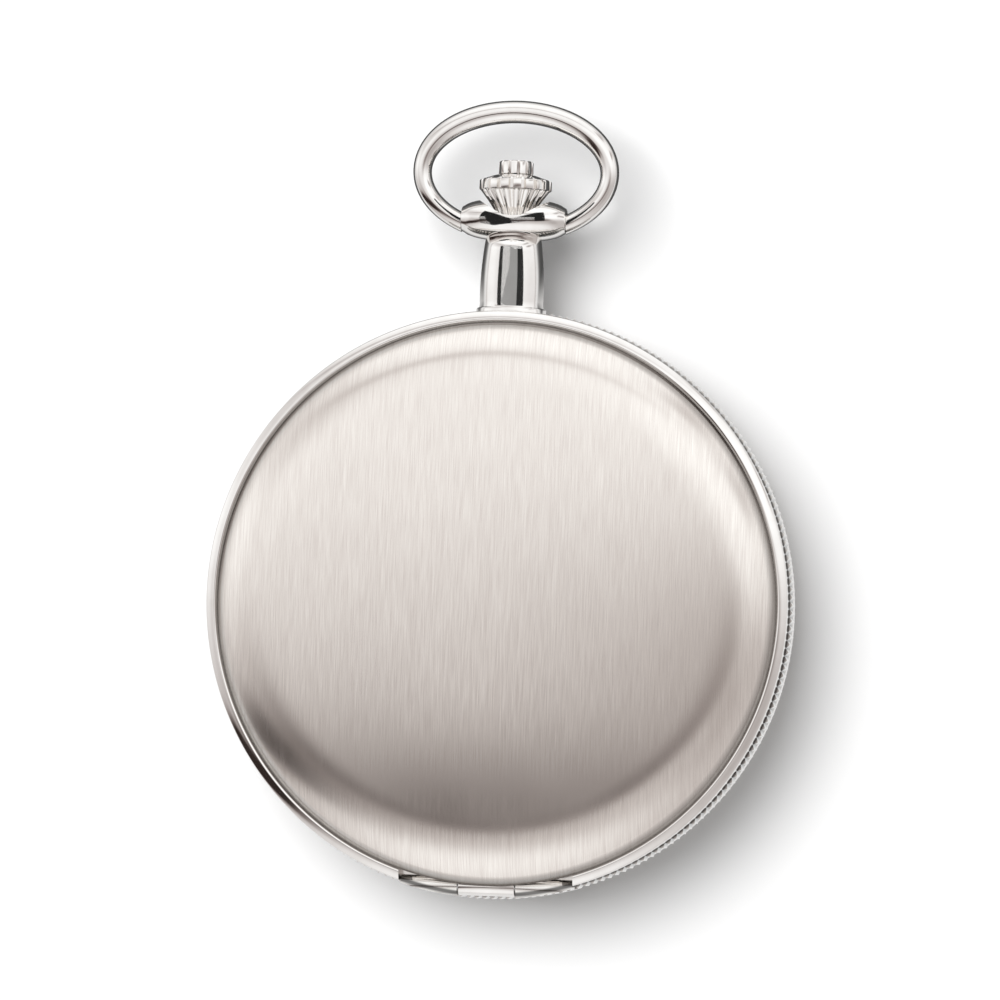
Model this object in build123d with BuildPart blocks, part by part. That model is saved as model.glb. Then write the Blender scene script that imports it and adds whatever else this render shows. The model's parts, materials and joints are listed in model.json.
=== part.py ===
"""Hunter pocket watch with a hinged front cover, a hinged back cover and a hand-wound movement.

Frame: the watch lies on its back. +Z is the dial's outward normal and +Y points to the crown at 12 o'clock.
The origin is the middle of the small flat on the back cover. Everything is in millimetres.
"""

import os
from math import atan2, cos, degrees, hypot, radians, sin, sqrt

from build123d import *

os.makedirs("parts", exist_ok=True)

# ---------------------------------------------------------------- driving dimensions: case
CASE_R = 25.0  # over the reeded edge
BAND_R = 24.7
BAND_HEIGHT = 4.8
REEDS = 234
REED_MARGIN = 1.0  # plain band above and below the reeding
DOME_HEIGHT = 4.3  # cover height over its parting plane
DOME_SAG = 1.05  # how far the field drops from the centre to the shoulder
SHOULDER_R = 21.0
DOME_EDGE_R = 23.8
DOME_EDGE_HEIGHT = 1.25
RIM_R = 24.75
RIM_INNER_R = 23.0
RIM_HEIGHT = 1.55
SHEET = 0.6
REST_FLAT = 0.12  # depth of the flat on the back cover's dome
GAP = 0.02

BACK_PART = DOME_HEIGHT - REST_FLAT  # parting plane between the back cover and the band
FRONT_PART = BACK_PART + BAND_HEIGHT
STEM_Z = (BACK_PART + FRONT_PART) / 2
BORE_R = 21.6  # inside of the band
SEAT_R = 22.25  # steps in the band that take the bezel and the inner back ring
BEZEL_SEAT_Z = FRONT_PART - 0.6
BACK_SEAT_Z = BACK_PART + 0.8

# hinges at 6 o'clock
HINGE_Y = -23.95
KNUCKLE_R = 0.8
HINGE_PIN_R = 0.3
HINGE_PIN_LENGTH = 10.4
KNUCKLES = 3
KNUCKLE_LENGTH = 4.9
HINGE_LENGTH = KNUCKLES * KNUCKLE_LENGTH
HINGE_CLEAR = 0.05
HINGE_CUT_Y = -23.07
HINGE_OUTER_R = 24.95  # the barrel is filed round to the case's edge
LIP_R = DOME_EDGE_R + 0.06
LIP_LOW = 0.87

# pendant, bow, crown and button, measured along +Y from the case's centre
NECK_TOP_Y = 31.6
HEAD_Y = 32.75
HEAD_HALF = 4.45
BOW_PIVOT_Y = 32.75
BOW_HALF_WIDTH = 7.95
BOW_HALF_HEIGHT = 5.2
BOW_WIRE_R = 0.85
BOW_PIN_R = 0.6
BOW_PIN_LENGTH = 0.8
BOW_BOSS_R = 0.95
BOW_CLEAR = 0.04
CROWN_R = 3.09
CROWN_FLUTES = 18
CROWN_BASE_Y = 33.45
CROWN_CONE_TOP_Y = 35.2
CROWN_BAND_TOP_Y = 36.2
CROWN_COLLAR_Y = 36.55
CROWN_COLLAR_R = 1.95
BUTTON_R = 1.47
BUTTON_FLUTES = 12
BUTTON_TOP_Y = 37.75
BUTTON_TRAVEL = 0.7
BUTTON_ROD_R = 0.45
STEM_SLEEVE_R = 0.95
STEM_SLEEVE_Y = 21.6
STEM_BORE_R = 0.5
STEM_R = 0.64
STEM_SQUARE = 0.86
STEM_SQUARE_TOP_Y = 14.6
STEM_PILOT_R = 0.25
STEM_PILOT_Y = 11.5
STEM_INNER_Y = 9.9
STEM_HOLLOW_Y = 21.9
RELEASE_PIN_R = 0.2
RELEASE_PIN_HALF = 1.4
LATCH_OUTER_R = 22.9
RELEASE_PIN_Y = LATCH_OUTER_R + RELEASE_PIN_R + GAP
LATCH_THICK = 0.35

# ---------------------------------------------------------------- driving dimensions: movement
MOVEMENT_R = 18.3
PLATE_LOW = STEM_Z - 0.35
PLATE_HIGH = STEM_Z + 1.15
BRIDGE_HIGH = 4.1  # side of the bridges that faces the wheels
BRIDGE_LOW = 3.1
BRIDGE_R = 18.0
FOOT_R = 14.6
WINDING_LOW = 2.65  # ratchet and crown wheel stand on the barrel bridge
WINDING_HIGH = 3.05
DIAL_LOW = PLATE_HIGH + 0.32
DIAL_HIGH = DIAL_LOW + 0.3
DIAL_R = 20.9
MOTION_FLOOR = PLATE_HIGH - 0.75
PIVOT_R = 0.15
JEWEL_HOLE_R = 0.18
JEWEL_R = 0.7
JEWEL_THICK = 0.35
ARBOR_R = 0.25

BARREL_TEETH, CENTRE_LEAVES, BARREL_MODULE = 72, 12, 0.17
CENTRE_TEETH, THIRD_LEAVES, CENTRE_MODULE = 80, 10, 0.14
THIRD_TEETH, FOURTH_LEAVES, THIRD_MODULE = 75, 10, 0.13
FOURTH_TEETH, ESCAPE_LEAVES, FOURTH_MODULE = 80, 8, 0.11
CANNON_TEETH, MINUTE_TEETH, CANNON_MODULE = 12, 36, 0.12
MINUTE_LEAVES, HOUR_TEETH = 10, 40
ESCAPE_TEETH, ESCAPE_R = 15, 2.5
CROWN_WHEEL_TEETH, RATCHET_TEETH = 32, 48
WINDING_TEETH, CONTRATE_TEETH, WINDING_MODULE = 12, 18, 0.2
SETTING_TEETH = 57


STANDING = (Align.CENTER, Align.CENTER, Align.MIN)


def mesh_distance(teeth_a, teeth_b, module):
    return (teeth_a + teeth_b) * module / 2


def polar(radius, angle, centre=(0.0, 0.0)):
    return (centre[0] + radius * cos(radians(angle)), centre[1] + radius * sin(radians(angle)))


def direction(a, b):
    """Angle in degrees from point a to point b."""
    return degrees(atan2(b[1] - a[1], b[0] - a[0]))


def meeting_point(a, reach_a, b, reach_b, side):
    """The point at reach_a from a and reach_b from b, left (side 1) or right (side -1) of the line a to b."""
    span = hypot(b[0] - a[0], b[1] - a[1])
    along = (span**2 + reach_a**2 - reach_b**2) / (2 * span)
    across = side * sqrt(reach_a**2 - along**2)
    heading = direction(a, b)
    return polar(across, heading + 90, polar(along, heading, a))


# wheel centres, seen from the dial side
CENTRE = (0.0, 0.0)
FOURTH = (0.0, -8.5)
THIRD = meeting_point(
    CENTRE,
    mesh_distance(CENTRE_TEETH, THIRD_LEAVES, CENTRE_MODULE),
    FOURTH,
    mesh_distance(THIRD_TEETH, FOURTH_LEAVES, THIRD_MODULE),
    1,
)
BARREL = polar(mesh_distance(BARREL_TEETH, CENTRE_LEAVES, BARREL_MODULE), 126, CENTRE)
ESCAPE = polar(mesh_distance(FOURTH_TEETH, ESCAPE_LEAVES, FOURTH_MODULE), 215, FOURTH)
PALLET = polar(ESCAPE_R / cos(radians(30)), 150, ESCAPE)
BALANCE = polar(4.2, 135, PALLET)
BALANCE_R = 4.9
MINUTE_WHEEL = polar(mesh_distance(CANNON_TEETH, MINUTE_TEETH, CANNON_MODULE), 60, CENTRE)
WINDING_Y = 15.2  # middle of the winding pinion
CROWN_WHEEL = (0.0, WINDING_Y - CONTRATE_TEETH * WINDING_MODULE / 2)
RATCHET_MODULE = (
    2 * hypot(CROWN_WHEEL[0] - BARREL[0], CROWN_WHEEL[1] - BARREL[1]) / (CROWN_WHEEL_TEETH + RATCHET_TEETH)
)
MOTION_MODULE = CANNON_MODULE * (CANNON_TEETH + MINUTE_TEETH) / (MINUTE_LEAVES + HOUR_TEETH)
SETTING_WHEEL = polar(mesh_distance(MINUTE_TEETH, SETTING_TEETH, CANNON_MODULE), 100, MINUTE_WHEEL)
COCK_FOOT = (-14.7, -0.6)
COCK_FOOT_R = 2.6
PALLET_FOOT = (-8.9, -11.5)
PALLET_FOOT_R = 0.75
CLICK = polar(7.2, 165, BARREL)
CLICK_TIP = polar(5.58, 150, BARREL)
BRIDGE_SCREWS = [polar(16.3, angle) for angle in (25, 140, 345, 285)]
CASE_SCREWS = [polar(18.8, angle) for angle in (55, 175, 310)]

# levels of the train, low to high
BARREL_LOW, BARREL_HIGH, BARREL_TOOTH_HIGH = 4.25, 5.65, 4.65
BARREL_DRUM_R = 5.75
CENTRE_WHEEL_LOW = 5.8
THIRD_WHEEL_LOW = 4.95
FOURTH_WHEEL_LOW = 4.4
ESCAPE_WHEEL_LOW = 5.2
BALANCE_LOW, BALANCE_HIGH = 3.85, 4.25
COCK_LOW, COCK_HIGH = 2.75, 3.35
HAIRSPRING_LOW = 3.55
PALLET_BRIDGE_LOW = 4.5
WHEEL_THICK = 0.2
CONTRATE_LOW = 4.7
SPOKES = 5
SPOKE_WIDTH = 0.38
HUB_R = 0.75
CENTRE_ARBOR_R = 0.4
SCREW_R = 0.35
SCREW_HEAD_R = 0.8
POST_R = 0.3
BRIDGE_SPLIT_Y = 2.4
KEYLESS_MIDDLE_Y, KEYLESS_LENGTH, KEYLESS_WIDTH = 13.85, 4.7, 3.4
BALANCE_SCREW_ANGLES = [15 + 25 * i for i in range(7)] + [195 + 25 * i for i in range(7)]
CUVETTE_GLASS_R = 17.0
CRYSTAL_SAG = 0.9

# hands, showing eight minutes past ten
SECONDS_RING_R = 4.3
SECONDS_HAND_LOW = DIAL_HIGH + 0.08
HOUR_HAND_LOW = DIAL_HIGH + 0.24
MINUTE_HAND_LOW = DIAL_HIGH + 0.55
HAND_THICK = 0.12
HOUR_HAND_ANGLE = 90 - 360 * (10 + 8 / 60) / 12
MINUTE_HAND_ANGLE = 90 - 360 * 8 / 60

STEM_AXIS = Axis((0, 0, STEM_Z), (0, 1, 0))
FACE_PLANE = Plane.XY.offset(STEM_Z)  # holds the stem's axis, for profiles turned about it


def save(part, name):
    part.label = name
    export_step(part, f"parts/{name}.step")


# ---------------------------------------------------------------- gear outlines
def toothed_outline(teeth, module, phase=0.0, addendum=1.15, dedendum=1.35, tooth=0.42, tip=0.14):
    """Corner points of a gear, a tooth centred on phase (degrees). tooth and tip are shares of the pitch."""
    pitch_r = teeth * module / 2
    outline = []
    for i in range(teeth):
        middle = phase + 360 * i / teeth
        pitch = 360 / teeth
        for radius, offset in (
            (pitch_r - dedendum * module, -tooth / 2),
            (pitch_r, -tooth / 2),
            (pitch_r + addendum * module, -tip / 2),
            (pitch_r + addendum * module, tip / 2),
            (pitch_r, tooth / 2),
            (pitch_r - dedendum * module, tooth / 2),
        ):
            outline.append(polar(radius, middle + offset * pitch))
    return outline


def leaf_outline(leaves, module, phase=0.0):
    """A pinion: slim leaves with low round tips."""
    return toothed_outline(leaves, module, phase, addendum=0.75, dedendum=1.5, tooth=0.34, tip=0.16)


def meshing_phase(phase_a, teeth_a, teeth_b, heading):
    """Where gear b has a tooth when gear a has one at phase_a. heading is the direction from a to b."""
    pitch_a = 360 / teeth_a
    lead = (phase_a - heading + pitch_a / 2) % pitch_a - pitch_a / 2
    return heading + 180 - lead * teeth_a / teeth_b + 180 / teeth_b


def spiral_outline(inner_r, outer_r, turns, width, steps=20):
    """A flat spiral strip, out along one side and back along the other."""
    count = int(turns * steps)
    sides = []
    for side in (-width / 2, width / 2):
        sides.append(
            [
                polar(inner_r + (outer_r - inner_r) * i / count + side, 360 * turns * i / count)
                for i in range(count + 1)
            ]
        )
    return sides[0] + sides[1][::-1]


def ring_sector(inner_r, outer_r, middle, half_angle):
    """A curved strip about the case's centre."""
    with BuildSketch() as sector:
        with BuildLine():
            Line(polar(inner_r, middle - half_angle), polar(outer_r, middle - half_angle))
            CenterArc((0, 0), outer_r, middle - half_angle, 2 * half_angle)
            Line(polar(outer_r, middle + half_angle), polar(inner_r, middle + half_angle))
            CenterArc((0, 0), inner_r, middle + half_angle, -2 * half_angle)
        make_face()
    return sector.sketch


# ---------------------------------------------------------------- case
def reeded_outline():
    """V-shaped reeds all round, left plain under the pendant."""
    outline = []
    for i in range(2 * REEDS):
        angle = 90 + 360 * i / (2 * REEDS)
        at_pendant = abs((angle - 90 + 180) % 360 - 180) < 7
        raised = i % 2 and not at_pendant
        outline.append(polar(CASE_R if raised else BAND_R, angle))
    return outline


def knuckle_centres(own):
    """Middle x of every second hinge knuckle; own picks the band's (0) or the cover's (1)."""
    first = -HINGE_LENGTH / 2 + KNUCKLE_LENGTH / 2
    return [first + KNUCKLE_LENGTH * i for i in range(own, KNUCKLES, 2)]


def hinge_barrel(own, height, hole_r):
    """One owner's knuckles, filed round to the case's edge and bored for the pin."""
    with BuildPart() as barrel:
        for x in knuckle_centres(own):
            with Locations(Location((x, HINGE_Y, height), (0, 90, 0))):
                Cylinder(KNUCKLE_R, KNUCKLE_LENGTH - 2 * HINGE_CLEAR)
        with Locations((0, 0, height)):
            Cylinder(HINGE_OUTER_R, 4, mode=Mode.INTERSECT)
        with Locations(Location((0, HINGE_Y, height), (0, 90, 0))):
            Cylinder(hole_r, HINGE_PIN_LENGTH + 2 * HINGE_CLEAR, mode=Mode.SUBTRACT)
    return barrel.part


def band_knuckles(height, up):
    """The band's knuckles with the roots that carry them, kept below the swing of the cover's lip."""
    root_low, root_high = 0.95, 0.3
    with BuildPart() as knuckles:
        for x in knuckle_centres(0):
            with Locations((x, (HINGE_CUT_Y - HINGE_OUTER_R) / 2, height - up * (root_low + root_high) / 2)):
                Box(
                    KNUCKLE_LENGTH - 2 * HINGE_CLEAR,
                    HINGE_OUTER_R + HINGE_CUT_Y + 2 * HINGE_CLEAR,
                    root_low - root_high,
                )
        with Locations((0, 0, height)):
            Cylinder(HINGE_OUTER_R, 4, mode=Mode.INTERSECT)
        add(hinge_barrel(0, height, HINGE_PIN_R))
        with Locations(Location((0, HINGE_Y, height), (0, 90, 0))):
            Cylinder(HINGE_PIN_R, HINGE_PIN_LENGTH + 2 * HINGE_CLEAR, mode=Mode.SUBTRACT)
    return knuckles.part


def rim_gap():
    """The piece of rim that makes way for the hinge, outside the dome's lip."""
    with BuildPart() as gap:
        with Locations((0, HINGE_CUT_Y - 1.5, 1)):
            Box(HINGE_LENGTH + 2 * HINGE_CLEAR, 5, 4)
        with Locations((0, 0, 1)):
            Cylinder(LIP_R, 5, mode=Mode.SUBTRACT)
    return gap.part


def make_case_band():
    with BuildPart() as band:
        with BuildSketch(Plane.XY.offset(BACK_PART)):
            Circle(BAND_R)
        extrude(amount=BAND_HEIGHT)
        with BuildSketch(Plane.XY.offset(BACK_PART + REED_MARGIN)):
            Polygon(*reeded_outline(), align=None)
        extrude(amount=BAND_HEIGHT - 2 * REED_MARGIN)
        with BuildSketch(Plane.XY.offset(BACK_PART)):
            Circle(BORE_R)
        extrude(amount=BAND_HEIGHT, mode=Mode.SUBTRACT)
        with BuildSketch(Plane.XY.offset(BEZEL_SEAT_Z)):
            Circle(SEAT_R)
        extrude(amount=FRONT_PART - BEZEL_SEAT_Z, mode=Mode.SUBTRACT)
        with BuildSketch(Plane.XY.offset(BACK_PART)):
            Circle(SEAT_R)
        extrude(amount=BACK_SEAT_Z - BACK_PART, mode=Mode.SUBTRACT)
        # hole for the pendant's bore, and a pocket where the latch spring moves
        with Locations(Location((0, BORE_R + 1.5, STEM_Z), (90, 0, 0))):
            Cylinder(1.7, 5, mode=Mode.SUBTRACT)
        with BuildSketch(Plane.XY.offset(BACK_PART + 1.2)):
            add(ring_sector(BORE_R - 1, 23.2, 90, 22))
        extrude(amount=BAND_HEIGHT, mode=Mode.SUBTRACT)
        with BuildSketch(Plane.XY.offset(STEM_Z - 1.2)):
            add(ring_sector(BORE_R - 1, 22.4, 270, 21))
        extrude(amount=BEZEL_SEAT_Z - STEM_Z + 1.2, mode=Mode.SUBTRACT)
        # room for both hinges, then the band's own knuckles
        for height, up in ((FRONT_PART, 1), (BACK_PART, -1)):
            with Locations((0, HINGE_CUT_Y - 1.5, height)):
                Box(HINGE_LENGTH + 2 * HINGE_CLEAR, 3, 1.7, mode=Mode.SUBTRACT)
            add(band_knuckles(height, up))
    return band.part


def cover_shell():
    """A cover whose parting plane is z = 0 and whose dome points to +Z, with knuckles on its hinge side."""
    field_r = (SHOULDER_R**2 + DOME_SAG**2) / (2 * DOME_SAG)
    slope = atan2(SHOULDER_R, field_r - DOME_SAG)
    shoulder = (SHOULDER_R, DOME_HEIGHT - DOME_SAG)
    edge = (DOME_EDGE_R, DOME_EDGE_HEIGHT)
    inner_field_r = field_r - SHEET
    inner_shoulder_r = SHOULDER_R - SHEET * 0.3
    inner_shoulder = (
        inner_shoulder_r,
        DOME_HEIGHT - field_r + sqrt(inner_field_r**2 - inner_shoulder_r**2),
    )
    with BuildPart() as cover:
        with BuildSketch(Plane.XZ) as profile:
            with BuildLine():
                RadiusArc((0, DOME_HEIGHT), shoulder, field_r)
                TangentArc(shoulder, edge, tangent=(cos(slope), -sin(slope)))
                # the rim is a bead, and the crease where it meets the dome is the dark line round the cover
                ThreePointArc(edge, (DOME_EDGE_R + 0.5, RIM_HEIGHT), (RIM_R, RIM_HEIGHT - 0.55))
                Polyline((RIM_R, RIM_HEIGHT - 0.55), (RIM_R, GAP), (RIM_INNER_R, GAP))
                Line((RIM_INNER_R, GAP), (RIM_INNER_R, DOME_EDGE_HEIGHT))
                TangentArc(
                    inner_shoulder, (RIM_INNER_R, DOME_EDGE_HEIGHT), tangent=(cos(slope), -sin(slope))
                )
                RadiusArc((0, DOME_HEIGHT - SHEET), inner_shoulder, inner_field_r)
                Line((0, DOME_HEIGHT), (0, DOME_HEIGHT - SHEET))
            make_face()
        revolve(axis=Axis.Z)
        # the rim stops at the hinge, and the dome's lip runs on over the knuckles
        add(rim_gap(), mode=Mode.SUBTRACT)
        with Locations((0, HINGE_CUT_Y - 1.5, LIP_LOW - 1)):
            Box(HINGE_LENGTH + 2 * HINGE_CLEAR, 3, 2, mode=Mode.SUBTRACT)
        for x in knuckle_centres(1):
            with Locations((x, HINGE_CUT_Y - 0.18, 0.6)):
                Box(KNUCKLE_LENGTH - 2 * HINGE_CLEAR, 0.5, 1.0)
        add(hinge_barrel(1, 0, HINGE_PIN_R + GAP))
        with Locations(Location((0, HINGE_Y, 0), (0, 90, 0))):
            Cylinder(HINGE_PIN_R + GAP, HINGE_PIN_LENGTH + 2 * HINGE_CLEAR, mode=Mode.SUBTRACT)
    return cover.part


def make_front_cover():
    with BuildPart() as front_cover:
        add(cover_shell().moved(Location((0, 0, FRONT_PART))))
    return front_cover.part


def make_back_cover():
    with BuildPart() as back_cover:
        add(cover_shell().mirror(Plane.XY).moved(Location((0, 0, BACK_PART))))
        with Locations((0, 0, -1)):
            Box(20, 20, 2, mode=Mode.SUBTRACT)
    return back_cover.part


def make_hinge_pin(height):
    with BuildPart() as pin:
        with Locations(Location((0, HINGE_Y, height), (0, 90, 0))):
            Cylinder(HINGE_PIN_R, HINGE_PIN_LENGTH)
    return pin.part


def make_pendant():
    neck_sections = ((24.2, 2.75, 2.3), (27.0, 2.62, 2.25), (NECK_TOP_Y, 2.28, 2.1))
    with BuildPart() as pendant:
        for y, half_x, half_z in neck_sections:
            with BuildSketch(Plane(origin=(0, y, STEM_Z), x_dir=(1, 0, 0), z_dir=(0, 1, 0))):
                Ellipse(half_x, half_z)
        loft()
        with BuildSketch(FACE_PLANE):
            with BuildLine():
                Polyline((0, HEAD_Y), (-HEAD_HALF, HEAD_Y), (-HEAD_HALF, HEAD_Y + 1.05))
                Spline(
                    (-HEAD_HALF, HEAD_Y + 1.05),
                    (-3.2, HEAD_Y + 1.72),
                    (0, HEAD_Y + 1.9),
                    (3.2, HEAD_Y + 1.72),
                    (HEAD_HALF, HEAD_Y + 1.05),
                )
                Polyline((HEAD_HALF, HEAD_Y + 1.05), (HEAD_HALF, HEAD_Y), (0, HEAD_Y))
            make_face()
        revolve(axis=Axis((0, HEAD_Y, STEM_Z), (1, 0, 0)))
        # saddle for the crown
        with BuildSketch(FACE_PLANE):
            Polygon(
                (0, CROWN_BASE_Y - 0.15),
                (1.55, CROWN_BASE_Y - 0.15),
                (CROWN_R + 0.2, CROWN_CONE_TOP_Y - 0.3),
                (CROWN_R + 0.2, CROWN_CONE_TOP_Y + 1),
                (0, CROWN_CONE_TOP_Y + 1),
                align=None,
            )
        revolve(axis=STEM_AXIS, mode=Mode.SUBTRACT)
        Cylinder(BAND_R, 20, mode=Mode.SUBTRACT)
        with Locations(Location((0, 29, STEM_Z), (90, 0, 0))):
            Cylinder(STEM_SLEEVE_R + 0.1, 12, mode=Mode.SUBTRACT)
        for side in (-1, 1):
            with Locations(Location((side * HEAD_HALF, BOW_PIVOT_Y, STEM_Z), (0, 90, 0))):
                Cylinder(BOW_PIN_R + BOW_CLEAR, 2 * (BOW_PIN_LENGTH + 0.2), mode=Mode.SUBTRACT)
    return pendant.part


def make_bow():
    """A round wire bent to an oval. Each end has a short boss, and a pin that turns in the pendant's head."""
    end_x = HEAD_HALF + 0.55
    end_rise = BOW_HALF_HEIGHT * sqrt(1 - (end_x / BOW_HALF_WIDTH) ** 2)
    start = degrees(atan2(-end_rise / BOW_HALF_HEIGHT, end_x / BOW_HALF_WIDTH))
    with BuildPart() as bow:
        with BuildLine(FACE_PLANE) as wire:
            EllipticalCenterArc(
                (0, BOW_PIVOT_Y + end_rise), BOW_HALF_WIDTH, BOW_HALF_HEIGHT, start, arc_size=180 - 2 * start
            )
        with BuildSketch(Plane(origin=wire.line @ 0, z_dir=wire.line % 0)):
            Circle(BOW_WIRE_R)
        sweep()
        for side in (-1, 1):
            with Locations(Location((side * (HEAD_HALF + 0.55), BOW_PIVOT_Y, STEM_Z), (0, 90, 0))):
                Cylinder(BOW_BOSS_R, 1.0)
        # everything inside the two bosses goes, then the pins are added
        with Locations((0, BOW_PIVOT_Y, STEM_Z)):
            Box(2 * (HEAD_HALF + 0.05), 4, 4, mode=Mode.SUBTRACT)
        for side in (-1, 1):
            with Locations(Location((side * (HEAD_HALF + 0.05), BOW_PIVOT_Y, STEM_Z), (0, 90, 0))):
                Cylinder(BOW_PIN_R, 2 * BOW_PIN_LENGTH)
    return bow.part


def at(centre, height):
    """The sketch plane at a wheel's centre."""
    return Plane(origin=(centre[0], centre[1], height))


def across_stem(y):
    """The sketch plane square to the stem, looking in along it from the crown."""
    return Plane(origin=(0, y, STEM_Z), x_dir=(1, 0, 0), z_dir=(0, 1, 0))


def fluted_outline(radius, flutes, depth):
    outline = []
    for i in range(flutes):
        for r, share in ((radius, -0.3), (radius, 0.12), (radius - depth, 0.26), (radius - depth, 0.56)):
            outline.append(polar(r, 360 * (i + share) / flutes))
    return outline


def make_crown():
    with BuildPart() as crown:
        with BuildSketch(across_stem(CROWN_BASE_Y)):
            Polygon(*fluted_outline(1.45, CROWN_FLUTES, 0.05), align=None)
        with BuildSketch(across_stem(CROWN_CONE_TOP_Y)):
            Polygon(*fluted_outline(CROWN_R, CROWN_FLUTES, 0.3), align=None)
        loft(ruled=True)
        with BuildSketch(across_stem(CROWN_CONE_TOP_Y)):
            Circle(CROWN_R - 0.28)
        extrude(amount=CROWN_COLLAR_Y - 0.5 - CROWN_CONE_TOP_Y)
        with BuildSketch(across_stem(CROWN_CONE_TOP_Y + 0.08)):
            Polygon(*fluted_outline(CROWN_R, CROWN_FLUTES, 0.3), align=None)
        extrude(amount=CROWN_BAND_TOP_Y - CROWN_CONE_TOP_Y - 0.08)
        with BuildSketch(FACE_PLANE):
            with BuildLine():
                Polyline((0, CROWN_BASE_Y), (1.45, CROWN_BASE_Y), (2.6, CROWN_CONE_TOP_Y - 0.9))
                Line((2.6, CROWN_CONE_TOP_Y - 0.9), (CROWN_R, CROWN_CONE_TOP_Y - 0.1))
                Line((CROWN_R, CROWN_CONE_TOP_Y - 0.1), (CROWN_R, CROWN_CONE_TOP_Y + 0.35))
                ThreePointArc(
                    (CROWN_R, CROWN_CONE_TOP_Y + 0.35),
                    (CROWN_R - 0.2, CROWN_BAND_TOP_Y - 0.28),
                    (CROWN_COLLAR_R + 0.25, CROWN_BAND_TOP_Y),
                )
                Line((CROWN_COLLAR_R + 0.25, CROWN_BAND_TOP_Y), (0, CROWN_BAND_TOP_Y))
                Line((0, CROWN_BAND_TOP_Y), (0, CROWN_BASE_Y))
            make_face()
        revolve(axis=STEM_AXIS, mode=Mode.INTERSECT)
        with BuildSketch(across_stem(CROWN_BAND_TOP_Y - 0.3)):
            Circle(CROWN_COLLAR_R)
        extrude(amount=CROWN_COLLAR_Y - CROWN_BAND_TOP_Y + 0.3)
        with BuildSketch(across_stem(CROWN_BASE_Y)):
            Circle(BUTTON_ROD_R + 0.05)
        extrude(amount=5, mode=Mode.SUBTRACT)
        with BuildSketch(across_stem(CROWN_BASE_Y)):
            Circle(STEM_SLEEVE_R + GAP)
        extrude(amount=CROWN_CONE_TOP_Y - 0.3 - CROWN_BASE_Y, mode=Mode.SUBTRACT)
        with BuildSketch(across_stem(CROWN_COLLAR_Y - BUTTON_TRAVEL - 0.05)):
            Circle(BUTTON_R + 0.06)
        extrude(amount=2, mode=Mode.SUBTRACT)
    return crown.part


def make_winding_stem():
    with BuildPart() as stem:
        with BuildSketch(across_stem(STEM_INNER_Y)):
            Circle(STEM_PILOT_R)
        extrude(amount=STEM_PILOT_Y - STEM_INNER_Y)
        with BuildSketch(across_stem(STEM_PILOT_Y)):
            Rectangle(STEM_SQUARE, STEM_SQUARE)
        extrude(amount=STEM_SQUARE_TOP_Y - STEM_PILOT_Y)
        with BuildSketch(across_stem(STEM_SQUARE_TOP_Y)):
            Circle(STEM_R)
        extrude(amount=STEM_SLEEVE_Y - STEM_SQUARE_TOP_Y)
        with BuildSketch(across_stem(STEM_SLEEVE_Y)):
            Circle(STEM_SLEEVE_R)
        extrude(amount=CROWN_CONE_TOP_Y - 0.32 - STEM_SLEEVE_Y)
        with BuildSketch(across_stem(STEM_HOLLOW_Y)):
            Circle(STEM_BORE_R)
        extrude(amount=20, mode=Mode.SUBTRACT)
        # the slot the release pin works in
        slot_low = RELEASE_PIN_Y - BUTTON_TRAVEL - 0.3
        slot_high = RELEASE_PIN_Y + 0.3
        with Locations((0, (slot_low + slot_high) / 2, STEM_Z)):
            Box(4, slot_high - slot_low, 2 * RELEASE_PIN_R + 0.1, mode=Mode.SUBTRACT)
    return stem.part


def make_release_button():
    with BuildPart() as button:
        with BuildSketch(across_stem(RELEASE_PIN_Y - 0.5)):
            Circle(BUTTON_ROD_R)
        extrude(amount=CROWN_COLLAR_Y - RELEASE_PIN_Y + 0.6)
        with BuildSketch(across_stem(CROWN_COLLAR_Y + GAP)):
            Polygon(*fluted_outline(BUTTON_R, BUTTON_FLUTES, 0.16), align=None)
        extrude(amount=BUTTON_TOP_Y - CROWN_COLLAR_Y - 0.25)
        with BuildSketch(across_stem(BUTTON_TOP_Y - 0.25)):
            Circle(BUTTON_R)
        extrude(amount=0.25)
        chamfer(button.edges().sort_by(Axis.Y)[-1], length=0.12)
        with Locations(Location((0, RELEASE_PIN_Y, STEM_Z), (0, 90, 0))):
            Cylinder(RELEASE_PIN_R + 0.01, 4, mode=Mode.SUBTRACT)
    return button.part


def make_release_pin():
    with BuildPart() as pin:
        with Locations(Location((0, RELEASE_PIN_Y, STEM_Z), (0, 90, 0))):
            Cylinder(RELEASE_PIN_R, 2 * RELEASE_PIN_HALF)
    return pin.part


def make_cover_latch():
    """The lock spring: a curved strip round the stem, with a nose that holds the front cover's lip."""
    inner_r = LATCH_OUTER_R - LATCH_THICK
    with BuildPart() as latch:
        with BuildSketch(Plane.XY.offset(STEM_Z - 1.15)):
            add(ring_sector(inner_r, LATCH_OUTER_R, 90, 19))
        extrude(amount=2.3)
        with BuildSketch(Plane.XY.offset(STEM_Z)):
            add(ring_sector(inner_r, LATCH_OUTER_R, 90, 6))
        extrude(amount=FRONT_PART + 0.9 - STEM_Z)
        with Locations(Location((0, inner_r, STEM_Z), (90, 0, 0))):
            Cylinder(STEM_SLEEVE_R + 0.1, 3, mode=Mode.SUBTRACT)
    return latch.part


def make_lift_spring():
    """The fly spring that throws the front cover open, in a pocket of the band at 6 o'clock."""
    with BuildPart() as spring:
        with BuildSketch(Plane.XY.offset(STEM_Z - 1.1)):
            add(ring_sector(21.75, 22.1, 270, 20))
        extrude(amount=2.2)
        with BuildSketch(Plane.XY.offset(STEM_Z)):
            add(ring_sector(21.75, 22.1, 270, 3))
        extrude(amount=BEZEL_SEAT_Z - 0.1 - STEM_Z)
    return spring.part


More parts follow.
